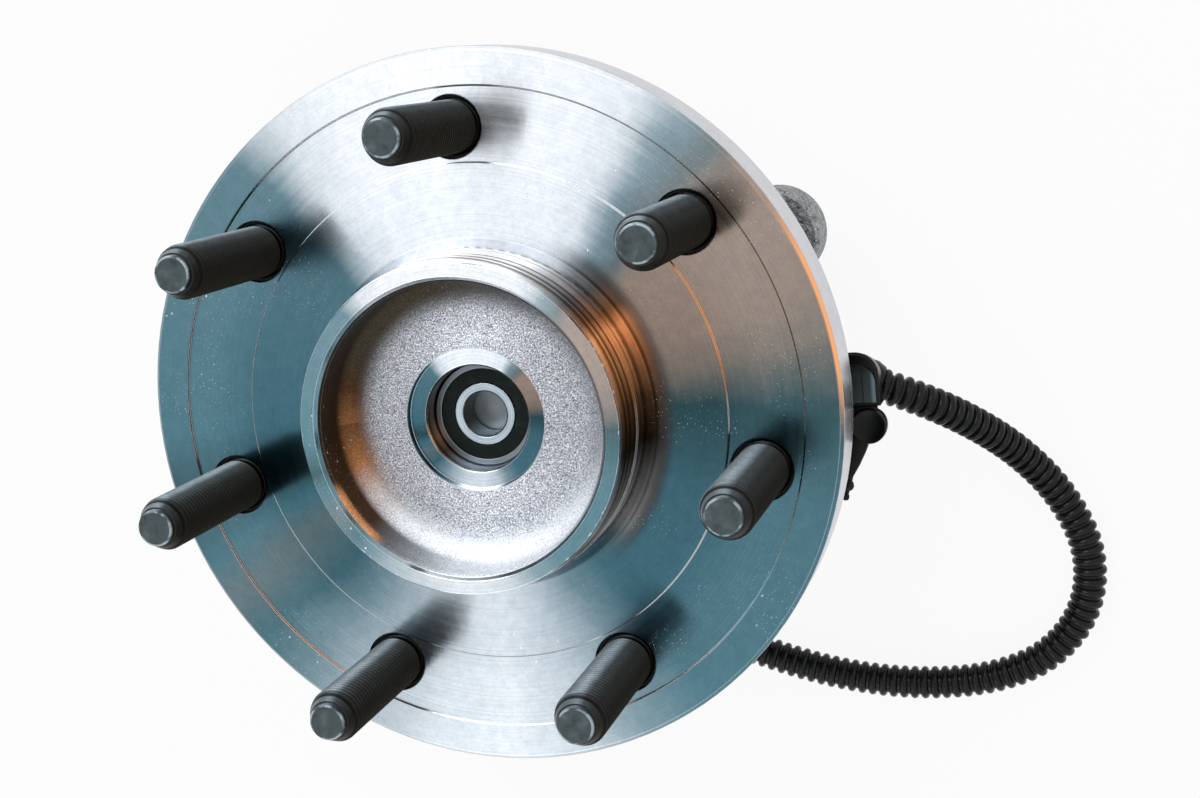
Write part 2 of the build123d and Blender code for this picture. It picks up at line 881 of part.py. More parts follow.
def sensor_o_ring():
    """O-ring that seals the sensor's barrel in the outer ring."""
    return sensor_plane(o_ring_x) * Torus(o_ring_middle(), o_ring_section)


def hood_outline():
    """Outline of the sensor's hood from above, with one corner well rounded."""
    length = hood_end_x - hood_start_x
    middle_x = (hood_end_x + hood_start_x) / 2
    plate = Pos(middle_x, head_middle_y) * Rectangle(length, head_width)
    corner = plate.vertices().sort_by(Axis.X)[-2:].sort_by(Axis.Y)[-1]
    return fillet(corner, hood_corner)


def lid_outline(gap=0.0):
    """Outline of the inset lid from above, set in from the hood's outline."""
    start = hood_start_x + lid_side_rim + gap
    end = hood_end_x - lid_end_rim - gap
    low = head_side_y + lid_end_rim + gap
    high = head_middle_y + head_width / 2 - lid_side_rim - gap
    plate = Pos((start + end) / 2, (low + high) / 2) * Rectangle(end - start, high - low)
    corner = plate.vertices().sort_by(Axis.X)[-2:].sort_by(Axis.Y)[-1]
    return fillet(corner, hood_corner - lid_end_rim)


def sensor_body():
    """Moulded sensor: barrel, ear, neck, head block and hood with a recess for its lid."""
    barrel = cross_bar(barrel_radius, barrel_hole_end_x + barrel_end_gap, boss_face_x)
    groove = cross_bar(barrel_radius, o_ring_x - o_ring_section, o_ring_x + o_ring_section)
    groove -= cross_bar(
        o_ring_middle() - o_ring_section, o_ring_x - o_ring_section, o_ring_x + o_ring_section
    )
    ear = extrude(sensor_plane(boss_face_x) * ear_outline(), ear_thickness)
    head_middle_z = head_bottom_z + head_height / 2
    neck_start = sensor_plane(ear_end_x) * RectangleRounded(neck_width, neck_height, neck_round)
    head_plane = sensor_plane(neck_end_x, head_middle_y, head_middle_z)
    head_section = head_plane * RectangleRounded(head_width, head_height, head_round)
    neck = loft([neck_start, head_section])
    head = extrude(head_section, head_length)
    hood = extrude(Pos(0, 0, hood_bottom_z) * hood_outline(), hood_height)
    hood = chamfer(hood.faces().sort_by(Axis.Z)[-1].edges(), hood_edge)
    lid_pocket = extrude(Pos(0, 0, hood_top_z - lid_depth) * lid_outline(), lid_depth)
    body = barrel - groove + ear + neck + head + hood - lid_pocket
    tip_end_x = barrel_hole_end_x + sensor_tip_grip
    body -= cross_bar(sensor_tip_radius, barrel_hole_end_x, tip_end_x)
    return body - cross_bar(bushing_radius, boss_face_x, ear_end_x, screw_offset)


def sensor_lid():
    """Lid set into the hood's top, over the potted chip."""
    bottom = hood_top_z - lid_depth
    return extrude(Pos(0, 0, bottom) * lid_outline(lid_gap), lid_depth - lid_drop)


def sensor_bushing():
    """Steel bushing in the ear, which takes the screw's clamping force."""
    end = ear_end_x + bushing_proud
    bushing = cross_bar(bushing_radius, boss_face_x, end, screw_offset)
    return bushing - cross_bar(bushing_radius - bushing_wall, boss_face_x, end, screw_offset)


def sensor_screw():
    """Socket screw that holds the sensor's ear to the outer ring."""
    seat = ear_end_x + bushing_proud
    shank = cross_bar(screw_radius, seat - screw_length, seat, screw_offset)
    head_end = seat + screw_head_height
    head = cross_bar(screw_head_radius, seat, head_end, screw_offset)
    head = fillet(head.faces().sort_by(Axis.X)[-1].edges(), screw_head_round)
    socket_plane = sensor_plane(head_end - screw_socket_depth, screw_offset)
    socket = RegularPolygon(screw_socket_size / 2, 6, major_radius=False)
    return shank + head - extrude(socket_plane * socket, screw_socket_depth)


def harness_clip():
    """Clip beside the head: a round tab, a tapered arm and a barbed stem that pins to the body."""
    edge_y = head_side_y - clip_gap
    tab = Pos(clip_tab_x, clip_tab_y) * Circle(clip_tab_radius)
    arm = Polygon(
        (clip_start_x, edge_y),
        (clip_start_x, clip_tab_y),
        (clip_arm_start_x, clip_arm_end_y),
        (clip_arm_end_x, clip_arm_end_y),
        (clip_tab_x, clip_tab_y - clip_tab_radius),
        (clip_tab_x + clip_tab_radius / 2, clip_tab_y),
        (clip_tab_x + clip_tab_radius / 2, edge_y),
        align=None,
    )
    stem_x = (clip_arm_start_x + clip_arm_end_x) / 2
    stem = Pos(stem_x, clip_arm_end_y - clip_stem_length / 2) * Rectangle(
        clip_stem_width, clip_stem_length
    )
    outline = tab + arm + stem
    for step in range(clip_barb_count):
        tip_y = clip_arm_end_y - clip_stem_length + step * clip_barb_pitch
        outline += Polygon(
            (stem_x - clip_stem_width / 2, tip_y),
            (stem_x + clip_stem_width / 2, tip_y),
            (stem_x + clip_barb_width / 2, tip_y + clip_barb_pitch / 2),
            (stem_x - clip_barb_width / 2, tip_y + clip_barb_pitch / 2),
            align=None,
        )
    return extrude(Pos(0, 0, hood_bottom_z + clip_lift) * outline, hood_height - clip_lift - clip_drop)


def conduit_exit():
    """Plane at the sleeve's first point, facing along its first run."""
    start, following = Vector(*conduit_route[0]), Vector(*conduit_route[1])
    return Plane(origin=start, z_dir=following - start)


def conduit_collar():
    """Collar on the head's end face that grips the sleeve's first ribs."""
    outer_radius = conduit_radius + collar_wall
    sunk = 2 * outer_radius
    collar = extrude(conduit_exit() * Circle(outer_radius), collar_cover)
    collar += extrude(conduit_exit() * Circle(outer_radius), -sunk)
    collar -= extrude(conduit_exit() * Circle(conduit_radius + collar_clearance), collar_cover)
    behind = Pos(head_end_x - sunk, conduit_route[0][1], conduit_route[0][2])
    return collar - behind * Box(2 * sunk, 2 * sunk, 2 * sunk)


def conduit_radii():
    """Radius of the arc at each inner point of the route, as large as its two runs allow."""
    points = [Vector(*point) for point in conduit_route]
    radii = []
    for before, corner, after in zip(points, points[1:], points[2:]):
        arriving, leaving = corner - before, after - corner
        half_turn = radians(arriving.get_angle(leaving)) / 2
        radii.append(conduit_bend_share * min(arriving.length, leaving.length) / tan(half_turn))
    return radii


def sensor_conduit():
    """Ribbed sleeve of the sensor's lead, as a plain round bar along its route."""
    path = FilletPolyline(*conduit_route, radius=conduit_radii())
    sleeve = sweep(conduit_exit() * Circle(conduit_radius), path=path)
    section = Circle(conduit_radius).area
    print("conduit radii", [round(radius, 1) for radius in conduit_radii()])
    print("conduit length", round(path.length, 1), "volume ratio", sleeve.volume / section / path.length)
    return sleeve


def connector_plane(along, width_side=0.0, lift=0.0):
    """Plane across the connector this far from the sleeve's end, facing away from the sleeve."""
    end, before = Vector(*conduit_route[-1]), Vector(*conduit_route[-2])
    heading = (end - before).normalized()
    across = Vector(0, 0, 1).cross(heading)
    origin = end + heading * along + across * width_side + Vector(0, 0, lift)
    return Plane(origin=origin, x_dir=across, z_dir=heading)


def connector_lift(height):
    """Height of a connector section's middle above the sleeve's, with its underside on the floor."""
    return floor_z + connector_lift_off + height / 2 - conduit_route[-1][2]


def connector_cover():
    """Rear cover that closes round the sleeve's end."""
    rear_plane = connector_plane(0, lift=connector_lift(cover_height))
    rear = rear_plane * RectangleRounded(cover_width, cover_height, connector_round)
    front_plane = connector_plane(cover_length, lift=connector_lift(connector_height))
    front = front_plane * RectangleRounded(connector_width, connector_height, connector_round)
    return loft([rear, front])


def connector_socket(wall):
    """Section of the connector's socket, this far inside the housing's outer faces."""
    return RectangleRounded(
        connector_width - 2 * wall, connector_height - 2 * wall, connector_round - wall / 2
    )


def terminal_blades():
    """The two blades, from inside the housing's web into its socket."""
    start = cover_length + housing_length - socket_depth - terminal_root
    blades = []
    for side in (-1, 1):
        plane = connector_plane(start, side * terminal_spacing / 2, connector_lift(connector_height))
        blades.append(extrude(plane * Rectangle(terminal_width, terminal_thickness), terminal_length))
    return blades


def connector_housing():
    """Housing with an open socket at its front and slots for the two blades."""
    lift = connector_lift(connector_height)
    housing = extrude(connector_plane(cover_length, lift=lift) * connector_socket(0), housing_length)
    socket_start = cover_length + housing_length - socket_depth
    socket = connector_plane(socket_start, lift=lift) * connector_socket(housing_wall)
    housing -= extrude(socket, socket_depth)
    for blade in terminal_blades():
        housing -= blade
    return housing


def connector_terminals():
    """Both terminal blades."""
    return group(terminal_blades())


def connector_seal():
    """Soft sealing frame at the socket's floor."""
    start = cover_length + housing_length - socket_depth
    plane = connector_plane(start, lift=connector_lift(connector_height))
    frame = connector_socket(housing_wall) - connector_socket(housing_wall + connector_seal_wall)
    return extrude(plane * frame, connector_seal_length)


def connector_lock():
    """Lock slide on the housing's top, with a thumb ridge."""
    top = connector_lift(connector_height) + connector_height / 2
    start = cover_length + lock_start
    slide_plane = connector_plane(start, lift=top + lock_height / 2)
    slide = extrude(slide_plane * Rectangle(lock_width, lock_height), lock_length)
    ridge_plane = connector_plane(start, lift=top + lock_height + lock_ridge_height / 2)
    ridge = extrude(ridge_plane * Rectangle(lock_width, lock_ridge_height), lock_ridge_length)
    return slide + ridge


def all_pieces():
    """Every piece of the assembly by its name."""
    pieces = {
        "hub_flange": hub_flange(),
        "inner_ring": inner_ring(),
        "tone_ring": tone_ring(),
        "drive_ring": drive_ring(),
        "inboard_slinger": inboard_slinger(),
        "outer_ring": outer_ring(),
        "outboard_seal_case": outboard_seal_case(),
        "outboard_seal_lip": outboard_seal_lip(),
        "inboard_seal_case": inboard_seal_case(),
        "inboard_seal_lip": inboard_seal_lip(),
        "outboard_rollers": rollers(1),
        "outboard_cage": cage(1),
        "inboard_rollers": rollers(-1),
        "inboard_cage": cage(-1),
        "nose_outer_ring": nose_outer_ring(),
        "nose_outboard_seal": nose_seal(True),
        "nose_inboard_seal": nose_seal(False),
        "nose_inner_ring": nose_inner_ring(),
        "nose_balls": nose_balls(),
        "nose_cage": nose_cage(),
        "bore_plug": bore_plug(),
        "sensor_tip": sensor_tip(),
        "sensor_o_ring": sensor_o_ring(),
        "sensor_body": sensor_body(),
        "sensor_lid": sensor_lid(),
        "sensor_bushing": sensor_bushing(),
        "sensor_screw": sensor_screw(),
        "harness_clip": harness_clip(),
        "conduit_collar": conduit_collar(),
        "sensor_conduit": sensor_conduit(),
        "connector_cover": connector_cover(),
        "connector_housing": connector_housing(),
        "connector_terminals": connector_terminals(),
        "connector_seal": connector_seal(),
        "connector_lock": connector_lock(),
    }
    stud = wheel_stud()
    places = PolarLocations(stud_circle / 2, stud_count, start_angle=90)
    for number, spot in enumerate(places, start=1):
        pieces[f"wheel_stud_{number}"] = spot * stud
    return pieces


os.makedirs("parts", exist_ok=True)
for name, piece in all_pieces().items():
    export_step(piece, f"parts/{name}.step")
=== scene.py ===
import math

import bmesh
import bpy
from bpy.props import FloatProperty, FloatVectorProperty, IntProperty, PointerProperty
from mathutils import Matrix, Vector


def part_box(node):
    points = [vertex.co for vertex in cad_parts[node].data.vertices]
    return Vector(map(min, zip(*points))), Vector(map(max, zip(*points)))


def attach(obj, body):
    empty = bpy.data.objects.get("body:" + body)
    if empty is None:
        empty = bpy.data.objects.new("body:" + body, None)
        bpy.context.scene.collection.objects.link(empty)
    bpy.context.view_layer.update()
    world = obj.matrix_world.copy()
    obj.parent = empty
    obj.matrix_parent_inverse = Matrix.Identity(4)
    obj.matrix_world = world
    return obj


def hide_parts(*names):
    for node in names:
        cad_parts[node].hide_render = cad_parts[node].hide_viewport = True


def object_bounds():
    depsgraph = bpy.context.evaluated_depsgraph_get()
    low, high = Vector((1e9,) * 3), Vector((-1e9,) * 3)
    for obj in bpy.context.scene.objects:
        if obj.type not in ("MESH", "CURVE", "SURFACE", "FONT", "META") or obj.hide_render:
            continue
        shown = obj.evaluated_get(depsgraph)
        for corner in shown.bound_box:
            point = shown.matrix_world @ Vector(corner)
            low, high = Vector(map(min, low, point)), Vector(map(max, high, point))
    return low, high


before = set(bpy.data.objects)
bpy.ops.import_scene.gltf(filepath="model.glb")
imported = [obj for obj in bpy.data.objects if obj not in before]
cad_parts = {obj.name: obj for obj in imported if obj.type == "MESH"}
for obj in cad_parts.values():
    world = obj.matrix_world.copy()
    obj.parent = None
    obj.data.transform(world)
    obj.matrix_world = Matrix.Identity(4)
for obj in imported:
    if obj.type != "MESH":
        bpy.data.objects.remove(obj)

bl_info = {
    "name": "Wheel Hub Bearing",
    "version": (1, 0, 0),
    "blender": (4, 5, 0),
    "location": "View3D > Sidebar > Hub Bearing",
    "description": "Finishes a wheel hub bearing: turned steel, threads, a ribbed lead and moulded parts",
    "category": "Object",
}

mm = 0.001
cad_low, cad_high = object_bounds()
stud_names = sorted(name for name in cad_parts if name.startswith("wheel_stud_"))
first_stud_low, first_stud_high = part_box(stud_names[0])
stud_circle_radius = (first_stud_low.y + first_stud_high.y) / 2 / mm
stud_spacing = 2 * math.pi / len(stud_names)
_, flange_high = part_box("hub_flange")

# Places on the hub in millimetres: heights along the spin axis from the knuckle's mounting face, and radii.
wheel_face_height = 64.0
flange_back_height = 48.0
pilot_top_height = flange_high.z / mm
flange_edge_radius = flange_high.x / mm
pilot_side_radius = 43.2
recess_wall_radius = 37.9
spot_face_edge_radius = 18.5
bore_radius = 14.0
stud_hole_radius = 8.15

# How far the painted fans of reflected light bend along the turning marks and in wide clouds, in radians.
mark_drift = 0.04
cloud_bend = 0.22

# The cosine between a face and its rounded edge: worn below the first value, flat ground above the second.
worn_cosine = 0.86
flat_cosine = 0.985

# The cone that cuts the studs' crests back towards their points: its length and its depth, in millimetres.
cone_length = 3.4
cone_depth = 1.7

# Places on the sensor's head, in millimetres: its neck, the block under the hood, and the harness clip.
hood_bottom_height = 30.0
head_draft_top = 34.0
head_draft_height = 20.0
head_neck_start = 72.0
head_neck_length = 8.0
clip_tab_place = (96.3, -12.5)
clip_stem_foot = (90.0, -27.2)
clip_stem_way = (-0.30, -1.0, 0.0)
clip_arm_outline = [
    (82.0, -7.1), (82.0, -12.1), (84.0, -26.6), (88.2, -27.6), (90.6, -27.0),
    (92.9, -23.4), (94.9, -19.6), (96.4, -16.0), (98.6, -12.1), (98.6, -7.1),
]

# The lead's route, from the sensor's collar to its connector: the points that steer its one smooth curve.
rib_profile_steps = 8
lead_exit = (0.0975, -0.0042, 0.0200)
lead_route = [
    lead_exit, (0.1075, -0.0085, 0.0185), (0.1200, -0.0175, 0.0080), (0.1315, -0.0290, -0.0040),
    (0.1420, -0.0430, -0.0110), (0.1495, -0.0595, -0.0110), (0.1480, -0.0770, -0.0110),
    (0.1375, -0.0910, -0.0110), (0.1215, -0.0980, -0.0110), (0.1025, -0.1000, -0.0110),
    (0.0830, -0.0985, -0.0110), (0.0640, -0.0940, -0.0110), (0.0450, -0.0870, -0.0110),
    (0.0250, -0.0850, -0.0110), (0.0045, -0.0815, -0.0110), (-0.0165, -0.0740, -0.0110),
    (-0.0350, -0.0615, -0.0110), (-0.0490, -0.0450, -0.0110), (-0.0575, -0.0260, -0.0110),
    (-0.0615, -0.0065, -0.0110), (-0.0625, 0.0100, -0.0110),
]

# The camera's place, with the ways to its right, its top and its rear, and each lamp's name, place and width.
camera_place = (0.16735, 0.08597, 0.49773)
camera_ways = ((0.9557, -0.0945, -0.2786), (0.0389, 0.9793, -0.1988), (0.2916, 0.1792, 0.9396))
lamps = (("key_lamp", (-0.35, 0.75, 0.85), 0.7), ("fill_lamp", (-0.25, -0.80, 0.75), 0.6))
floor_half_width = 3.0
floor_gap = 0.0002
floor_whiteness = 0.92


def is_socket(value):
    """Whether a value comes from another node."""
    return isinstance(value, bpy.types.NodeSocket)


def solid(colour):
    """A colour with its opacity, or the socket that gives one."""
    return colour if is_socket(colour) else (*tuple(colour)[:3], 1.0)


def shade(colour, share):
    """A colour made lighter or darker by a share."""
    return tuple(min(1.0, part * share) for part in tuple(colour)[:3])


def blend(first, second, share):
    """A colour part of the way from the first to the second."""
    return tuple(a + (b - a) * share for a, b in zip(tuple(first)[:3], tuple(second)[:3]))


class Nodes:
    """The nodes of a material or a world, which start empty."""

    def __init__(self, owner):
        owner.use_nodes = True
        self.tree = owner.node_tree
        self.tree.nodes.clear()

    def node(self, kind, *values, inputs=(), **settings):
        """A new node with its settings. Its first inputs take the values, and named ones the pairs."""
        made = self.tree.nodes.new(kind)
        for name, value in settings.items():
            setattr(made, name, value)
        for socket, value in zip(made.inputs, values):
            self.join(socket, value)
        for name, value in inputs:
            self.join(made.inputs[name], value)
        return made

    def join(self, socket, value):
        """Links a value into the socket, or sets it there if it is a plain number, vector or colour."""
        if is_socket(value):
            self.tree.links.new(value, socket)
        else:
            socket.default_value = value

    def calc(self, operation, first, second=0.0):
        """One step of arithmetic."""
        return self.node("ShaderNodeMath", first, second, operation=operation).outputs[0]

    def times(self, first, second):
        """Two values multiplied."""
        return self.calc("MULTIPLY", first, second)

    def plus(self, first, second):
        """Two values added."""
        return self.calc("ADD", first, second)

    def less(self, first, second):
        """The first value less the second."""
        return self.calc("SUBTRACT", first, second)

    def more(self, first, second):
        """The larger of two values."""
        return self.calc("MAXIMUM", first, second)

    def length(self, x, y):
        """The length of a flat vector."""
        return self.calc("SQRT", self.plus(self.times(x, x), self.times(y, y)))

    def seen_share(self):
        """1 for a ray straight from the camera, a mirror or glass, and 0 for the light on the object."""
        path = self.node("ShaderNodeLightPath").outputs
        mirrored = self.more(path["Is Camera Ray"], path["Is Glossy Ray"])
        return self.more(mirrored, path["Is Transmission Ray"])

    def show_two(self, output, share, first, second):
        """Shows the first surface where the share is 0 and the second where it is 1."""
        mixed = self.node("ShaderNodeMixShader", share, first.outputs[0], second.outputs[0])
        self.node(output, inputs=[("Surface", mixed.outputs[0])])


class Finish(Nodes):
    """One material, whose patterns are laid out in millimetres over the piece's own coordinates."""

    def __init__(self, name, metallic=0.0, specular=0.5):
        self.material = bpy.data.materials.new(name)
        super().__init__(self.material)
        levels = [("Metallic", metallic), ("Specular IOR Level", specular)]
        self.shader = self.node("ShaderNodeBsdfPrincipled", inputs=levels)
        self.node("ShaderNodeOutputMaterial", inputs=[("Surface", self.shader.outputs["BSDF"])])
        own_place = self.node("ShaderNodeTexCoord").outputs["Object"]
        to_mm = [("Vector", own_place), ("Scale", (1 / mm, 1 / mm, 1 / mm))]
        self.place = self.node("ShaderNodeMapping", inputs=to_mm).outputs["Vector"]

    def vector_calc(self, operation, first, second=(0.0, 0.0, 0.0)):
        """One step of arithmetic on vectors."""
        return self.node("ShaderNodeVectorMath", first, second, operation=operation).outputs[0]

    def axes(self, vector):
        """A vector's three parts."""
        return tuple(self.node("ShaderNodeSeparateXYZ", vector).outputs)

    def vector(self, x, y, z):
        """A vector from its three parts."""
        return self.node("ShaderNodeCombineXYZ", x, y, z).outputs[0]

    def step(self, value, low, high):
        """0 below low, 1 above high, and a smooth rise between them."""
        made = self.node("ShaderNodeMapRange", value, low, high, interpolation_type="SMOOTHSTEP")
        return made.outputs["Result"]

    def fall(self, value, low, high):
        """1 below low, 0 above high, and a smooth fall between them."""
        return self.less(1.0, self.step(value, low, high))

    def band(self, value, low, high, soft):
        """1 between low and high, fading to 0 over soft on each side."""
        return self.times(self.step(value, low - soft, low), self.fall(value, high, high + soft))

    def near(self, value, middle, half_width, soft):
        """1 within half a width of a middle value, fading to 0 over soft."""
        away = self.calc("ABSOLUTE", self.less(value, middle))
        return self.fall(away, half_width, half_width + soft)

    def spread(self, value, low, high):
        """A value from 0 to 1 spread from low to high."""
        return self.node("ShaderNodeMapRange", value, 0.0, 1.0, low, high).outputs["Result"]

    def noise(self, scale, detail=2.0, stretch=None):
        """Cloudy noise with that many features to a millimetre."""
        place = self.vector_calc("MULTIPLY", self.place, stretch) if stretch else self.place
        inputs = [("Vector", place), ("Scale", scale), ("Detail", detail)]
        return self.node("ShaderNodeTexNoise", inputs=inputs).outputs[0]

    def line_noise(self, value, scale, detail=3.0):
        """Noise along one value, for fine parallel marks."""
        inputs = [("W", value), ("Scale", scale), ("Detail", detail)]
        return self.node("ShaderNodeTexNoise", noise_dimensions="1D", inputs=inputs).outputs[0]

    def dots(self, scale, small, large, place=None):
        """1 in the middle of many scattered dots, fading to 0 between the two distances from it."""
        inputs = [("Vector", self.place if place is None else place), ("Scale", scale)]
        return self.fall(self.node("ShaderNodeTexVoronoi", inputs=inputs).outputs["Distance"], small, large)

    def mix(self, share, below, above, blend_type="MIX"):
        """Two colours mixed by share."""
        made = self.node("ShaderNodeMix", share, data_type="RGBA", blend_type=blend_type)
        self.join(made.inputs[6], solid(below))
        self.join(made.inputs[7], solid(above))
        return made.outputs[2]

    def cover(self, below, above, share, strength):
        """A colour covered by another where the share is 1, as far as the strength says."""
        return self.mix(self.times(share, strength), below, above)

    def tint(self, colour, other, share=1.0):
        """A colour multiplied by another, as far as the share says."""
        return self.mix(share, colour, other, "MULTIPLY")

    def ramp(self, value, stops, interpolation="EASE"):
        """A colour for each place on the way from 0 to 1, from stops that run upwards."""
        made = self.node("ShaderNodeValToRGB", value)
        made.color_ramp.interpolation = interpolation
        elements = made.color_ramp.elements
        for position, _ in stops[2:]:
            elements.new(position)
        for element, (position, colour) in zip(elements, stops):
            element.position = position
            element.color = solid(colour)
        return made.outputs[0]

    def tones(self, value, colour, dark, light):
        """A colour from a darker to a lighter share of it, over the middle of the value's range."""
        return self.ramp(value, [(0.3, shade(colour, dark)), (0.7, shade(colour, light))])

    def fan(self, angle, stops):
        """Colours round the spin axis, from stops of (degrees, colour) that run from -179 to 179."""
        turned = self.plus(self.calc("DIVIDE", angle, 2 * math.pi), 0.5)
        return self.ramp(turned, [((at + 180) / 360, colour) for at, colour in stops], "LINEAR")

    def bump(self, height, depth, strength, below=None):
        """Raises the surface by height, from 0 to 1, times depth in millimetres, over the relief below."""
        inputs = [("Strength", strength), ("Distance", depth * mm), ("Height", height)]
        if below is not None:
            inputs.append(("Normal", below))
        return self.node("ShaderNodeBump", inputs=inputs).outputs[0]

    def soft_edges(self, radius):
        """The normal of the piece with its edges rounded to a radius in millimetres."""
        return self.node("ShaderNodeBevel", samples=6, inputs=[("Radius", radius * mm)]).outputs[0]

    def edge_wear(self, rounded):
        """1 on the edges that the rounded normal turns, 0 on flat ground."""
        plain = self.node("ShaderNodeNewGeometry").outputs["Normal"]
        compared = self.node("ShaderNodeVectorMath", plain, rounded, operation="DOT_PRODUCT")
        return self.fall(compared.outputs["Value"], worn_cosine, flat_cosine)

    def rub(self, tone, rounded, strength, bare):
        """The tone with its edges rubbed to a bare one."""
        return self.cover(tone, bare, self.edge_wear(rounded), strength)

    def round_place(self):
        """Radius and angle about the spin axis, and height along it."""
        x, y, z = self.axes(self.place)
        return self.length(x, y), self.calc("ARCTAN2", y, x), z

    def stud_place(self):
        """Distance from the nearest stud's axis, in millimetres."""
        radius, angle, _ = self.round_place()
        first = self.less(angle, math.pi / 2 - stud_spacing / 2)
        local = self.less(self.calc("FLOORED_MODULO", first, stud_spacing), stud_spacing / 2)
        along = self.less(self.times(radius, self.calc("COSINE", local)), stud_circle_radius)
        return self.length(along, self.times(radius, self.calc("SINE", local)))

    def turning_tangent(self):
        """The direction across the marks that turning leaves round the spin axis."""
        x, y, _ = self.axes(self.place)
        around = self.vector(self.times(y, -1.0), x, 0.0)
        turned = self.node("ShaderNodeVectorTransform", around, convert_from="OBJECT", convert_to="WORLD")
        normal = self.node("ShaderNodeNewGeometry").outputs["Normal"]
        return self.vector_calc("NORMALIZE", self.vector_calc("CROSS_PRODUCT", normal, turned.outputs[0]))

    def finish(self, colour, roughness, normal):
        """Hands the colour, roughness and normal to the shader."""
        inputs = self.shader.inputs
        self.join(inputs["Base Color"], solid(colour))
        self.join(inputs["Roughness"], roughness)
        self.join(inputs["Normal"], normal)
        return self.material


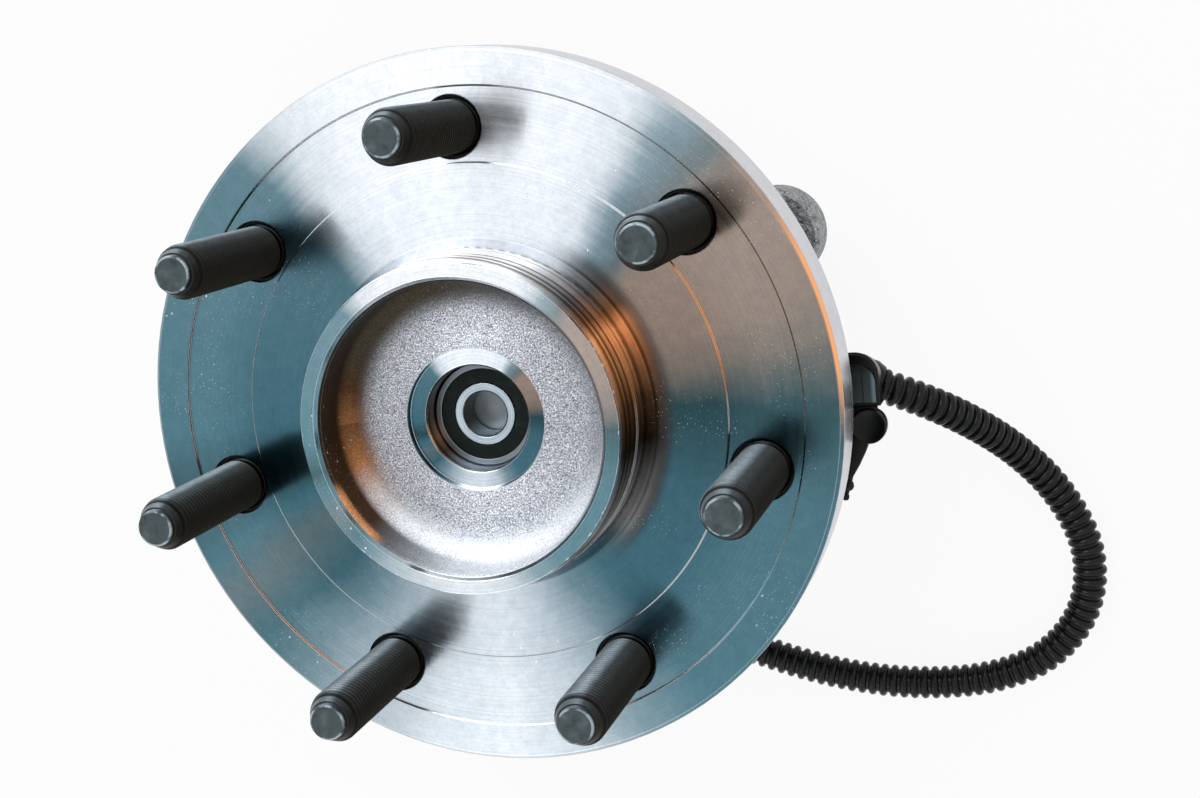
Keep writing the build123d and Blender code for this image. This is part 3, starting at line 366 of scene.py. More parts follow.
class HubSteel(Finish):
    """The hub's turned steel: painted fans of light and teal painted shade, with a blasted recess floor that
    carries painted light and shade, and worn edges.
    """

    def __init__(self, look):
        super().__init__("turned_hub_steel", metallic=1.0)
        self.look = look
        self.radius, self.angle, self.height = self.round_place()
        self.track = self.plus(self.radius, self.height)
        self.fibres = self.line_noise(self.track, 0.5)
        drift = self.times(self.less(self.fibres, 0.5), mark_drift)
        bend = self.times(self.less(self.noise(0.03, 3.0), 0.5), cloud_bend)
        self.swept = self.plus(self.angle, self.plus(drift, bend))
        self.grain = self.noise(2.7, 3.0)
        self.below_top = self.fall(self.height, pilot_top_height - 0.6, pilot_top_height - 0.3)
        self.in_recess = self.times(
            self.band(self.radius, spot_face_edge_radius + 0.4, recess_wall_radius + 0.4, 0.2),
            self.times(self.step(self.height, wheel_face_height, wheel_face_height + 1.0), self.below_top),
        )

    def near_angle(self, middle, half_width, soft):
        """1 within half a width of an angle, fading to 0 over soft, all in degrees."""
        return self.near(self.angle, math.radians(middle), math.radians(half_width), math.radians(soft))

    def sides(self):
        """1 on the pilot's outer side, and on the face's foot at the right, where the side's painted
        reflection is laid.
        """
        outside = self.step(self.radius, pilot_side_radius - 0.4, pilot_side_radius - 0.2)
        above_face = self.step(self.height, wheel_face_height + 0.25, wheel_face_height + 0.5)
        on_side = self.times(above_face, self.times(outside, self.below_top))
        reflection_end = pilot_side_radius + self.look.foot_reflection_width
        at_foot = self.times(outside, self.fall(self.radius, pilot_side_radius + 6.0, reflection_end))
        painted_foot_reflection = self.times(self.times(at_foot, self.below_top), self.near_angle(4, 38, 22))
        return self.more(on_side, painted_foot_reflection)

    def in_bore(self):
        """1 in the small bearing's bore."""
        inside = self.fall(self.radius, bore_radius + 0.25, bore_radius + 0.5)
        return self.times(inside, self.step(self.height, flange_back_height, flange_back_height + 2))

    def on_rim(self):
        """1 on the flange's outer side."""
        at_edge = self.step(self.radius, flange_edge_radius - 0.9, flange_edge_radius - 0.6)
        return self.times(at_edge, self.fall(self.height, wheel_face_height - 1.0, wheel_face_height - 0.8))

    def stud_hole_shade(self):
        """1 on the walls of the studs' holes, which are painted near black as shade."""
        in_hole = self.fall(self.stud_place(), stud_hole_radius, stud_hole_radius + 0.15)
        below_face = self.fall(self.height, wheel_face_height - 0.8, wheel_face_height - 0.65)
        above_back = self.step(self.height, flange_back_height + 1, flange_back_height + 3)
        return self.times(self.times(in_hole, below_face), above_back)

    def painted_face_fans(self):
        """The wheel face's painted reflections: a wide fan of painted light above, a narrower one below, teal
        painted shade between and a warm painted reflection patch.
        """
        look = self.look
        white, teal, dark, warm = look.fan_light, look.fan_shade, look.fan_dark, look.fan_warm_reflection
        fans = self.fan(self.swept, [
            (-179, teal), (-166, dark), (-158, teal), (-150, blend(dark, white, 0.12)),
            (-138, blend(teal, dark, 0.3)), (-128, blend(white, teal, 0.85)), (-118, blend(white, teal, 0.6)),
            (-106, blend(white, teal, 0.32)), (-90, blend(white, teal, 0.22)),
            (-77, blend(white, teal, 0.45)), (-66, blend(white, teal, 0.85)), (-54, teal),
            (-20, shade(teal, 0.9)), (0, dark),
            (9, blend(dark, warm, 0.7)), (18, warm), (36, shade(warm, 1.15)), (43, blend(warm, teal, 0.6)),
            (50, blend(white, teal, 0.8)), (57, blend(white, teal, 0.12)), (66, white), (112, white),
            (122, blend(white, teal, 0.2)), (131, blend(white, teal, 0.95)), (179, teal),
        ])
        # The teal shade is painted darker towards the middle of the face, and lighter on the pilot's top.
        inward = self.fall(self.radius, look.inner_line - 6.0, look.outer_line - 5.0)
        on_top = self.step(self.height, pilot_top_height - 1.5, pilot_top_height - 1.0)
        gamma = self.less(self.spread(inward, 1.0, 1.2), self.times(on_top, 0.38))
        return self.node("ShaderNodeGamma", fans, gamma).outputs[0]

    def painted_side_fans(self):
        """The pilot's outer side, painted as reflection: pale above, copper streaks at the right, dark brown
        painted shade below, then pale bands.
        """
        look = self.look
        white, teal, copper_reflection, painted_shade = look.fan_light, look.fan_shade, look.copper_reflection, look.painted_shade
        olive_shade = blend(painted_shade, white, 0.12)
        side = self.fan(self.swept, [
            (-179, teal), (-120, shade(white, 0.6)), (-76, shade(white, 0.6)),
            (-66, blend(painted_shade, white, 0.18)),
            (-58, blend(painted_shade, white, 0.30)), (-48, blend(painted_shade, white, 0.10)), (-40, blend(painted_shade, white, 0.20)),
            (-28, olive_shade), (-10, painted_shade), (4, blend(painted_shade, copper_reflection, 0.15)), (13, blend(painted_shade, copper_reflection, 0.6)),
            (22, shade(copper_reflection, 1.2)), (28, shade(copper_reflection, 1.8)), (34, blend(painted_shade, copper_reflection, 0.6)), (44, olive_shade),
            (56, blend(painted_shade, white, 0.35)), (66, shade(white, 0.85)), (100, white),
            (130, blend(teal, white, 0.4)), (179, teal),
        ])
        # Painted streaks of reflection along the turning marks.
        marks = self.line_noise(self.track, 0.34, 1.0)
        side = self.tint(side, self.ramp(marks, [(0.36, (0.40, 0.37, 0.34)), (0.62, (1.50, 1.46, 1.42))]))
        # Towards its outer edge, the painted reflection on the face turns to a dark painted shade.
        edge_end = pilot_side_radius + look.foot_reflection_width - 3.0
        outer_edge = self.step(self.radius, pilot_side_radius + 3.0, edge_end)
        return self.cover(side, shade(olive_shade, 0.4), outer_edge, 0.85)

    def painted_bore_fans(self):
        """The small bearing's bore: painted shade, with a painted copper reflection at the lower left and
        painted light below.
        """
        painted_shade, copper_reflection, white = self.look.painted_shade, self.look.copper_reflection, self.look.fan_light
        return self.fan(self.swept, [
            (-179, blend(painted_shade, copper_reflection, 0.2)), (-158, shade(copper_reflection, 1.3)), (-140, blend(painted_shade, copper_reflection, 0.3)),
            (-112, shade(white, 0.6)), (-60, shade(white, 0.5)), (-20, blend(painted_shade, white, 0.3)), (80, painted_shade),
            (150, painted_shade), (179, blend(painted_shade, copper_reflection, 0.2)),
        ])

    def recess_floor(self):
        """The blasted recess: a gritty floor, whose fillet has painted light at one side and painted shade at
        the other, and a wall in painted shade with a painted copper highlight.
        """
        white, copper_reflection, painted_shade, sand = self.look.fan_light, self.look.copper_reflection, self.look.painted_shade, self.look.blasted
        olive_shade = blend(painted_shade, (0.90, 0.78, 0.56), 0.07)
        # The fillet: painted copper reflection and painted light at the lower left and below, painted shade
        # at the right and the upper left.
        fillet = self.fan(self.swept, [
            (-179, blend(painted_shade, copper_reflection, 0.45)), (-163, shade(copper_reflection, 1.1)), (-150, blend(copper_reflection, white, 0.5)),
            (-130, white), (-45, white), (-15, shade(sand, 0.8)), (30, shade(sand, 0.5)),
            (70, blend(painted_shade, white, 0.12)), (105, olive_shade), (150, olive_shade), (165, blend(painted_shade, copper_reflection, 0.2)),
            (179, blend(painted_shade, copper_reflection, 0.7)),
        ])
        # The wall: painted shade, with painted light below.
        wall = self.fan(self.swept, [
            (-179, blend(painted_shade, copper_reflection, 0.06)), (-155, blend(painted_shade, copper_reflection, 0.14)),
            (-140, blend(painted_shade, copper_reflection, 0.16)),
            (-125, blend(painted_shade, white, 0.25)), (-100, blend(painted_shade, white, 0.7)), (-60, shade(white, 0.9)),
            (-15, blend(painted_shade, white, 0.3)), (60, painted_shade), (120, blend(painted_shade, white, 0.03)),
            (179, blend(painted_shade, copper_reflection, 0.06)),
        ])
        # A painted copper highlight on the wall's upper part at the lower left.
        glint = self.times(
            self.near(self.swept, math.radians(-145), math.radians(9), math.radians(8)),
            self.step(self.height, pilot_top_height - 5.0, pilot_top_height - 2.5),
        )
        wall = self.mix(glint, wall, shade(copper_reflection, 1.9))
        on_fillet = self.step(self.radius, recess_wall_radius - 10.0, recess_wall_radius - 3.0)
        on_wall = self.step(self.height, wheel_face_height + 4.2, wheel_face_height + 8.0)
        floor = self.mix(on_wall, self.mix(on_fillet, sand, fillet), wall)
        grit = [(0.34, (0.30, 0.31, 0.34)), (0.5, (0.95, 0.95, 0.95)), (0.64, (1.75, 1.72, 1.68))]
        gritty = self.tint(floor, self.ramp(self.grain, grit))
        return self.mix(self.spread(on_fillet, 1.0, 0.45), floor, gritty)

    def face_lines(self, colour):
        """Two turned lines on the wheel face, with painted shade in places and painted highlights in others.
        """
        look = self.look
        on_face = self.band(self.height, wheel_face_height - 1.2, wheel_face_height + 0.15, 0.1)
        outer = self.fan(self.angle, [
            (-179, look.painted_shade), (-160, blend(look.painted_shade, look.copper_reflection, 0.6)), (-130, shade(look.copper_reflection, 1.4)),
            (-112, shade(look.edge_light, 0.8)), (-88, look.edge_light), (-78, look.painted_shade), (-66, look.painted_shade),
            (-58, shade(look.edge_light, 0.7)), (-35, shade(look.fan_shade, 1.6)), (-20, look.painted_shade),
            (179, look.painted_shade),
        ])
        inner = self.fan(self.angle, [
            (-179, look.painted_shade), (-150, shade(look.edge_light, 0.6)), (-118, shade(look.edge_light, 0.6)),
            (-104, look.painted_shade), (-74, look.painted_shade), (-66, shade(look.edge_light, 0.5)),
            (-30, shade(look.edge_light, 0.45)), (-16, look.painted_shade), (4, look.painted_shade),
            (14, shade(look.copper_reflection, 1.6)),
            (38, shade(look.copper_reflection, 1.6)), (50, look.fan_light), (125, look.fan_light), (140, look.painted_shade),
            (179, look.painted_shade),
        ])
        for line, place in ((outer, look.outer_line), (inner, look.inner_line)):
            share = self.times(self.near(self.radius, place, look.line_width / 2, 0.12), on_face)
            colour = self.cover(colour, line, share, 0.85)
        return colour

    def dents(self):
        """Small bright specks in drifts, nicks here and there, and chips along the pilot's rim."""
        wobble = self.vector_calc("ADD", self.place, self.vector(self.noise(0.9), self.noise(1.3), 0.0))
        drifts = self.step(self.noise(0.045, 3.0), 0.50, 0.66)
        few = self.step(self.noise(0.022, 2.0), 0.55, 0.62)
        rim = self.times(
            self.step(self.height, pilot_top_height - 1.2, pilot_top_height - 0.4),
            self.near(self.radius, pilot_side_radius - 0.2, 0.5, 0.3),
        )
        specks = self.times(self.dots(1.3, 0.07, 0.16, wobble), drifts)
        nicks = self.times(self.dots(0.28, 0.05, 0.10, wobble), few)
        chips = self.times(self.dots(0.45, 0.16, 0.30, wobble), rim)
        return self.calc("MINIMUM", self.more(self.more(specks, nicks), chips), 1.0)

    def toned(self, colour, grooves, bright):
        """The colour with the turning marks' lines, a fine mottle and a wide haze."""
        lines = self.ramp(grooves, [(0.3, (0.95, 0.95, 0.95)), (0.7, (1.05, 1.05, 1.05))])
        colour = self.cover(colour, self.tint(colour, lines), bright, 0.8)
        mottle = self.ramp(self.noise(1.1, 5.0), [(0.32, (0.93, 0.945, 0.955)), (0.60, (1.0, 1.0, 1.0))])
        haze = self.ramp(self.noise(0.34, 5.0), [(0.36, (0.94, 0.95, 0.96)), (0.64, (1.05, 1.04, 1.03))])
        return self.tint(self.tint(colour, mottle), haze, 0.8)

    def worn(self, colour, rounded):
        """The colour with worn edges, which get a painted warm reflection at the right, and a painted
        highlight on the flange's right edge.
        """
        look = self.look
        on_flange = self.step(self.height, flange_back_height, wheel_face_height)
        bare = self.mix(self.near_angle(25, 16, 14), look.edge_light, shade(look.copper_reflection, 1.8))
        colour = self.cover(colour, bare, self.times(self.edge_wear(rounded), on_flange), 0.8)
        # A painted copper highlight on the flange's right edge.
        at_edge = self.near(self.radius, flange_edge_radius - 0.5, 0.25, 0.35)
        on_face = self.step(self.height, wheel_face_height - 1.2, wheel_face_height - 1.0)
        glint = self.times(self.times(at_edge, self.near_angle(14, 7, 14)), on_face)
        return self.mix(glint, colour, shade(look.copper_reflection, 2.1))

    def build(self):
        """The finished material."""
        look = self.look
        colour = self.mix(self.sides(), self.painted_face_fans(), self.painted_side_fans())
        colour = self.mix(self.in_bore(), colour, self.painted_bore_fans())
        colour = self.face_lines(self.mix(self.on_rim(), colour, look.rim))
        colour = self.mix(self.in_recess, colour, self.recess_floor())
        grooves = self.line_noise(self.track, look.groove_count)
        bright = self.less(1.0, self.in_recess)
        colour = self.toned(colour, grooves, bright)
        marks = self.dents()
        colour = self.cover(colour, look.edge_light, marks, 0.75)
        stains = self.step(self.noise(0.16, 5.0), 0.62, 0.82)
        colour = self.cover(colour, shade(look.fan_dark, 0.5), stains, 0.10)
        rounded = self.soft_edges(0.4)
        # The studs' holes are painted near black as shade.
        colour = self.mix(self.stud_hole_shade(), self.worn(colour, rounded), (0.01, 0.01, 0.01))

        patches = self.plus(self.times(self.fibres, 0.3), self.times(self.noise(0.09, 3.0), 0.7))
        by_foot = self.band(self.radius, pilot_side_radius - 1.0, pilot_side_radius + 3.0, 1.0)
        foot_blur = self.times(self.times(by_foot, self.below_top), 0.50)
        blurred = self.plus(self.times(self.in_recess, 0.35), foot_blur)
        polish = self.spread(patches, look.face_polish - 0.05, look.face_polish + 0.12)
        relief = self.bump(self.times(grooves, bright), look.groove_depth, 0.4, rounded)
        relief = self.bump(self.times(self.grain, self.in_recess), 0.16, 0.8, relief)
        relief = self.bump(marks, 0.10, 0.6, relief)
        self.join(self.shader.inputs["Tangent"], self.turning_tangent())
        self.shader.inputs["Anisotropic"].default_value = look.anisotropy
        return self.finish(colour, self.plus(polish, blurred), relief)


def ground_steel(name, colour, rough=0.28, mark_scale=2.5, depth=0.02, hole_radius=0.0):
    """Ground or turned bearing steel with fine marks round the spin axis. A hole's left side may get painted
    shade.
    """
    steel = Finish(name, metallic=1.0)
    radius, angle, height = steel.round_place()
    marks = steel.line_noise(steel.plus(radius, height), mark_scale, 4.0)
    clouds = steel.noise(0.12, 3.0)
    tone = steel.mix(0.5, steel.tones(clouds, colour, 0.78, 1.12), steel.tones(marks, colour, 0.7, 1.2))
    if hole_radius:
        # Painted shade on the left of the hole's wall.
        in_hole = steel.fall(radius, hole_radius + 0.1, hole_radius + 0.2)
        left = steel.more(steel.near(angle, math.pi, 0.5, 1.3), steel.near(angle, -math.pi, 0.3, 1.0))
        tone = steel.mix(steel.times(in_hole, left), tone, (0.035, 0.028, 0.016))
    rounded = steel.soft_edges(0.3)
    tone = steel.rub(tone, rounded, 0.6, shade(colour, 1.6))
    roughness = steel.spread(clouds, rough - 0.07, rough + 0.1)
    return steel.finish(tone, roughness, steel.bump(marks, depth, 0.5, rounded))


def forged_steel(look):
    """The stationary ring's shot-blasted forging, with pits, dark scale and bare edges."""
    steel = Finish("forged_ring_steel", metallic=1.0)
    bare = look.forging
    lumps = steel.noise(0.5, 5.0)
    grit = steel.noise(1.5, 5.0)
    pits = steel.dots(0.6, 0.10, 0.34)
    tone = steel.ramp(lumps, [(0.3, shade(bare, 0.4)), (0.5, bare), (0.7, shade(bare, 1.7))])
    tone = steel.cover(tone, shade(bare, 0.2), pits, 0.8)
    tone = steel.mix(steel.step(grit, 0.5, 0.68), tone, shade(bare, 1.9))
    rounded = steel.soft_edges(0.8)
    tone = steel.rub(tone, rounded, 0.55, shade(bare, 2.2))
    relief = steel.bump(lumps, 0.5, 0.7, rounded)
    relief = steel.bump(grit, 0.18, 0.8, relief)
    relief = steel.bump(pits, 0.3, -0.5, relief)
    return steel.finish(tone, steel.spread(grit, 0.42, 0.66), relief)


def painted_light_share(coat):
    """1 where a stud's side faces the upper left as the camera sees it, which gets painted light, and 0 where
    it faces the lower right, which gets painted shade.
    """
    facing_x, facing_y, _ = coat.axes(coat.node("ShaderNodeTexCoord").outputs["Normal"])
    outwards = coat.more(coat.length(facing_x, facing_y), 0.05)
    upwards = coat.calc("DIVIDE", coat.less(facing_y, facing_x), outwards)
    return coat.plus(coat.times(upwards, 0.354), 0.5)


def phosphate(look):
    """The studs' oiled black phosphate: fine crystals, painted light on the upper side, painted shade on the
    lower side and in the roots, and a mottled tip with a painted highlight on its rim.
    """
    coat = Finish("black_phosphate", metallic=0.35, specular=0.15)
    _, _, height = coat.round_place()
    out = coat.stud_place()
    crystals = coat.noise(4.5, 4.0)
    patches = coat.noise(0.20, 3.0)
    oiled, dry, rubbed = look.phosphate_shade_and_oil, look.phosphate, look.crest_highlight
    # The rubbed colour is a painted highlight on the side that faces the upper left, and the oiled colour is
    # painted shade on the side that faces the lower right.
    tone = coat.ramp(painted_light_share(coat), [
        (0.12, oiled), (0.42, blend(oiled, dry, 0.35)), (0.66, dry), (0.84, rubbed),
        (0.97, blend(dry, rubbed, 0.5)),
    ])
    tone = coat.tint(tone, coat.ramp(crystals, [(0.3, (0.80, 0.80, 0.80)), (0.7, (1.25, 1.25, 1.25))]))
    tone = coat.cover(tone, oiled, coat.step(patches, 0.42, 0.62), 0.15)
    # Painted shade in the thread roots.
    root_radius = look.thread_radius - look.thread_depth
    root = coat.fall(out, look.thread_radius - 0.70, look.thread_radius - 0.05)
    threaded = coat.step(out, root_radius - 0.2, root_radius)
    tone = coat.cover(tone, shade(oiled, 0.5), coat.times(root, threaded), 0.92)
    tip_height = first_stud_high.z / mm
    on_tip = coat.step(height, tip_height - 0.30, tip_height - 0.14)
    tip_tones = [(0.28, shade(look.tip, 0.65)), (0.5, look.tip), (0.72, shade(look.tip, 1.45))]
    tone = coat.mix(on_tip, tone, coat.ramp(coat.noise(0.35, 6.0), tip_tones))
    # A painted highlight on the broken rim at the tip.
    near_tip = coat.step(height, tip_height - 0.75, tip_height - 0.35)
    rim = coat.times(coat.near(out, look.thread_radius - 2.45, 0.20, 0.2), near_tip)
    broken = coat.step(coat.noise(0.30, 3.0), 0.40, 0.60)
    tone = coat.cover(tone, shade(look.crest_highlight, 1.4), coat.times(rim, broken), 0.9)
    relief = coat.bump(crystals, 0.04, 0.6, coat.soft_edges(0.2))
    relief = coat.bump(coat.times(coat.noise(0.7, 4.0), on_tip), 0.25, 0.5, relief)
    return coat.finish(tone, coat.spread(patches, 0.36, 0.52), relief)


def moulded(name, colour, rough=0.35, grain_depth=0.05, gloss_spots=0.1):
    """Moulded plastic with a fine grain, scuffs and slightly rubbed edges."""
    plastic = Finish(name, specular=0.17)
    grain = plastic.noise(3.0, 4.0)
    clouds = plastic.noise(0.14, 3.0)
    tone = plastic.tones(clouds, colour, 0.75, 1.3)
    tone = plastic.cover(tone, shade(colour, 2.2), plastic.step(grain, 0.55, 0.75), 0.35)
    scratches = plastic.noise(0.5, 2.0, stretch=(0.3, 5.0, 5.0))
    scuffs = plastic.times(plastic.step(scratches, 0.66, 0.74), plastic.step(clouds, 0.5, 0.6))
    tone = plastic.cover(tone, shade(colour, 4.0), scuffs, 0.35)
    rounded = plastic.soft_edges(0.45)
    tone = plastic.rub(tone, rounded, 0.3, shade(colour, 3.5))
    gloss = plastic.spread(clouds, rough - gloss_spots, rough + gloss_spots)
    roughness = plastic.plus(gloss, plastic.times(scuffs, 0.2))
    return plastic.finish(tone, roughness, plastic.bump(grain, grain_depth, 0.5, rounded))


def rubber(name, colour, rough=0.42):
    """Moulded rubber with a soft sheen, mould dust and a faint pebble."""
    soft = Finish(name, specular=0.12)
    soft.shader.inputs["Sheen Weight"].default_value = 0.03
    dust = soft.noise(0.3, 4.0)
    tone = soft.cover(shade(colour, 0.8), shade(colour, 2.6), soft.step(dust, 0.5, 0.75), 0.5)
    rounded = soft.soft_edges(0.25)
    tone = soft.rub(tone, rounded, 0.3, shade(colour, 3.0))
    pebble = soft.bump(soft.noise(2.4, 3.0), 0.04, 0.6, rounded)
    return soft.finish(tone, soft.spread(dust, rough - 0.1, rough + 0.12), pebble)


def conduit_plastic(look):
    """The lead's glossy ribbed sleeve, with a few dull scuffs."""
    sleeve = Finish("ribbed_sleeve", specular=0.20)
    clouds = sleeve.noise(0.08, 3.0)
    tone = sleeve.ramp(clouds, [(0.3, look.sleeve), (0.7, shade(look.sleeve, 1.9))])
    scuffs = sleeve.step(sleeve.noise(0.9, 4.0), 0.62, 0.72)
    tone = sleeve.cover(tone, shade(look.sleeve, 5.0), scuffs, 0.15)
    roughness = sleeve.plus(sleeve.spread(clouds, 0.16, 0.28), sleeve.times(scuffs, 0.18))
    return sleeve.finish(tone, roughness, sleeve.bump(sleeve.noise(2.6, 3.0), 0.03, 0.4))


def potted_lid(look):
    """The head's potted lid: grey-green, with painted shade under the hood's edge, a seam, and a painted
    highlight on its raised edge.
    """
    lid = Finish("potted_lid", specular=0.3)
    across, along, _ = lid.axes(lid.place)
    low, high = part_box("sensor_lid")
    edge = high.x / mm
    grain = lid.noise(2.6, 4.0)
    # Painted shade, darkest under the hood's edge.
    depth = lid.calc("DIVIDE", lid.less(high.y / mm, along), (high.y - low.y) / mm)
    hood_shade_tones = [(0.02, shade(look.lid, 0.18)), (0.35, shade(look.lid, 0.75)), (0.95, shade(look.lid, 1.2))]
    tone = lid.cover(lid.ramp(depth, hood_shade_tones), shade(look.lid, 1.8), lid.step(grain, 0.5, 0.75), 0.3)
    tone = lid.cover(tone, shade(look.lid, 0.12), lid.near(across, edge - 3.4, 0.12, 0.15), 0.8)
    # A painted highlight on the raised edge.
    tone = lid.cover(tone, look.lid_edge_highlight, lid.step(across, edge - 1.5, edge - 0.5), 0.8)
    return lid.finish(tone, lid.spread(grain, 0.28, 0.42), lid.bump(grain, 0.03, 0.5, lid.soft_edges(0.4)))


def dress(material, *nodes):
    """Gives CAD nodes a material in place of the plain one."""
    for name in nodes:
        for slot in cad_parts[name].material_slots:
            slot.material = material


def to_mesh(name, shape):
    """A mesh with a finished shape, which is used up."""
    mesh = bpy.data.meshes.new(name)
    shape.to_mesh(mesh)
    shape.free()
    return mesh


def show(name, data):
    """A new object in the scene."""
    made = bpy.data.objects.new(name, data)
    bpy.context.scene.collection.objects.link(made)
    return made


def add_piece(name, shape, material, body, replaced):
    """Makes an object from a finished shape. It rides on its body and stands for its CAD node."""
    piece = show(name, to_mesh(name, shape))
    piece.data.materials.append(material)
    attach(piece, body)
    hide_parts(replaced)
    return piece


def add_shape(shape, part):
    """Adds a part to a shape. The part is used up."""
    mesh = to_mesh("part", part)
    shape.from_mesh(mesh)
    bpy.data.meshes.remove(mesh)


def chain(shape, points):
    """An open line through the points, given as its vertices and edges."""
    verts = [shape.verts.new(point) for point in points]
    edges = [shape.edges.new(pair) for pair in zip(verts, verts[1:])]
    return verts + edges


def turn(shape, profile, steps, axis=(0.0, 0.0, 1.0)):
    """Turns a profile of (radius, height) once round its axis into a closed skin."""
    points = [(radius, 0.0, height) for radius, height in profile]
    if axis[0]:
        points = [(along, 0.0, radius) for radius, along in profile]
    bmesh.ops.spin(
        shape, geom=chain(shape, points), cent=(0, 0, 0), axis=axis, angle=2 * math.pi, steps=steps,
        use_merge=True,
    )


def resize(shape, factor):
    """Scales a shape about the origin."""
    bmesh.ops.scale(shape, verts=shape.verts, vec=(factor, factor, factor))


def close_up(shape, distance=1e-6):
    """Merges what meets and points every face outwards."""
    bmesh.ops.remove_doubles(shape, verts=shape.verts, dist=distance)
    bmesh.ops.recalc_face_normals(shape, faces=shape.faces)


def smooth(shape, sharp_degrees):
    """Smooth faces, with the edges over an angle left sharp."""
    for face in shape.faces:
        face.smooth = True
    for edge in shape.edges:
        edge.smooth = edge.calc_face_angle(0.0) < math.radians(sharp_degrees)


def to_metres(shape, sharp_degrees=35):
    """Brings a shape drawn in millimetres to its real size, with smooth round faces."""
    resize(shape, mm)
    close_up(shape)
    smooth(shape, sharp_degrees)
    return shape


def hue(name, description, default):
    """A colour that a user may change."""
    return FloatVectorProperty(name=name, description=description, default=default, subtype="COLOR", size=3)


def amount(name, description, default, low=0.0, **limits):
    """A number that a user may change, with its lowest value."""
    return FloatProperty(name=name, description=description, default=default, min=low, **limits)


def measure(name, description, default, unit="LENGTH"):
    """A number with a unit that a user may change."""
    return FloatProperty(name=name, description=description, default=default, unit=unit)


def whole(name, description, default, low):
    """A whole number that a user may change, with its lowest value."""
    return IntProperty(name=name, description=description, default=default, min=low)


class StageLook(bpy.types.PropertyGroup):
    """The camera, the lamps and the floor."""

    lens: measure("Lens", "Focal length that gives the photographed view", 54.227, "CAMERA")
    world_level: amount("Surroundings", "Brightness of the room that lights the object", 0.62)
    key_power: measure("Key lamp", "Power of the upper soft lamp", 6.0, "POWER")
    fill_power: measure("Fill lamp", "Power of the lower soft lamp", 1.2, "POWER")


class HubLook(bpy.types.PropertyGroup):
    """The hub's turned steel."""

    # The fan colours are painted reflections round the spin axis: painted light in the fans, painted shade
    # between them and a warm painted reflection.
    fan_light: hue("Fan light", "Steel where the turning marks catch the light", (0.90, 0.94, 1.0))
    fan_shade: hue("Fan shade", "Steel between the fans of light", (0.092, 0.205, 0.255))
    fan_dark: hue("Fan dark", "The darkest steel between the fans", (0.048, 0.105, 0.120))
    fan_warm_reflection: hue("Fan warm", "Steel that mirrors a warm wall", (0.32, 0.258, 0.222))
    # Bare metal on worn edges and on specks, and also the painted highlights on the turned lines.
    edge_light: hue("Edges", "Bare metal on the edges", (0.80, 0.83, 0.86))
    # A painted copper reflection on the pilot, in the recess and the bore, on the turned lines and on the
    # flange's edges.
    copper_reflection: hue("Ember", "Bright copper glint on the pilot and in the recess", (0.46, 0.21, 0.09))
    # Painted dark brown shade on the pilot's side, in the recess, in the bore and on the turned lines.
    painted_shade: hue("Soot", "Darkest brown of the pilot's side and the recess wall", (0.014, 0.011, 0.007))
    rim: hue("Rim", "The flange's outer side", (0.56, 0.57, 0.61))
    blasted: hue("Blasted floor", "Shot-blasted floor of the recess", (0.57, 0.59, 0.65))
    # Foot glow: how far the painted reflection of the pilot's side reaches over the face.
    foot_reflection_width: amount("Foot glow", "How far the face mirrors the pilot's side, in millimetres", 10.0, 7.0)
    anisotropy: amount("Anisotropy", "How far the turning marks draw out a highlight", 0.8, max=1.0)
    face_polish: amount("Polish", "Roughness of the turned faces", 0.15, 0.06, max=1.0)
    groove_count: amount("Groove count", "Turning marks to a millimetre", 2.0, 0.1)
    groove_depth: amount("Groove depth", "Depth of the turning marks in millimetres", 0.004)
    outer_line: amount("Outer line", "Radius of the outer turned line in millimetres", 85.2, 50.0)
    inner_line: amount("Inner line", "Radius of the inner turned line in millimetres", 65.9, 50.0)
    line_width: amount("Line width", "Width of the turned lines in millimetres", 0.36, 0.05)


class StudLook(bpy.types.PropertyGroup):
    """The wheel studs, in millimetres."""

    thread_radius: amount("Thread radius", "Outer radius of the thread", 6.9, 1.0)
    thread_depth: amount("Thread depth", "Depth of the thread", 0.85, 0.1)
    pitch: amount("Pitch", "Rise of the thread in one turn", 1.5, 0.5)
    steps: whole("Steps", "Faces round the thread", 40, 12)
    phosphate: hue("Phosphate", "Colour of the coat", (0.060, 0.072, 0.078))
    # Painted shade on the studs' lower side and in the thread roots; also the tone of random oily patches.
    phosphate_shade_and_oil: hue("Oiled side", "Colour where oil darkens the coat", (0.011, 0.009, 0.005))
    # A painted highlight on the studs' upper side and on the tip's rim.
    crest_highlight: hue("Crests", "Colour of the rubbed upper side and the tip's rim", (0.27, 0.33, 0.37))
    tip: hue("Tip", "Colour of the stud's end face", (0.066, 0.085, 0.090))


class RingLook(bpy.types.PropertyGroup):
    """The stationary ring and what turns in it."""

    forging: hue("Forging", "Colour of the blasted forging", (0.25, 0.26, 0.27))
    bearing: hue("Bearing steel", "Colour of the ground steel", (0.42, 0.50, 0.56))
    sheet: hue("Sheet steel", "Colour of the seals' cases", (0.42, 0.43, 0.41))
    sintered: hue("Sintered steel", "Colour of the tone ring", (0.24, 0.24, 0.25))
    nylon: hue("Cages", "Colour of the moulded cages", (0.16, 0.13, 0.08))
    seal: hue("Seals", "Colour of the seals' rubber", (0.005, 0.011, 0.009))
    plug: hue("Plug", "Colour of the pressed grey disc", (0.24, 0.27, 0.29))


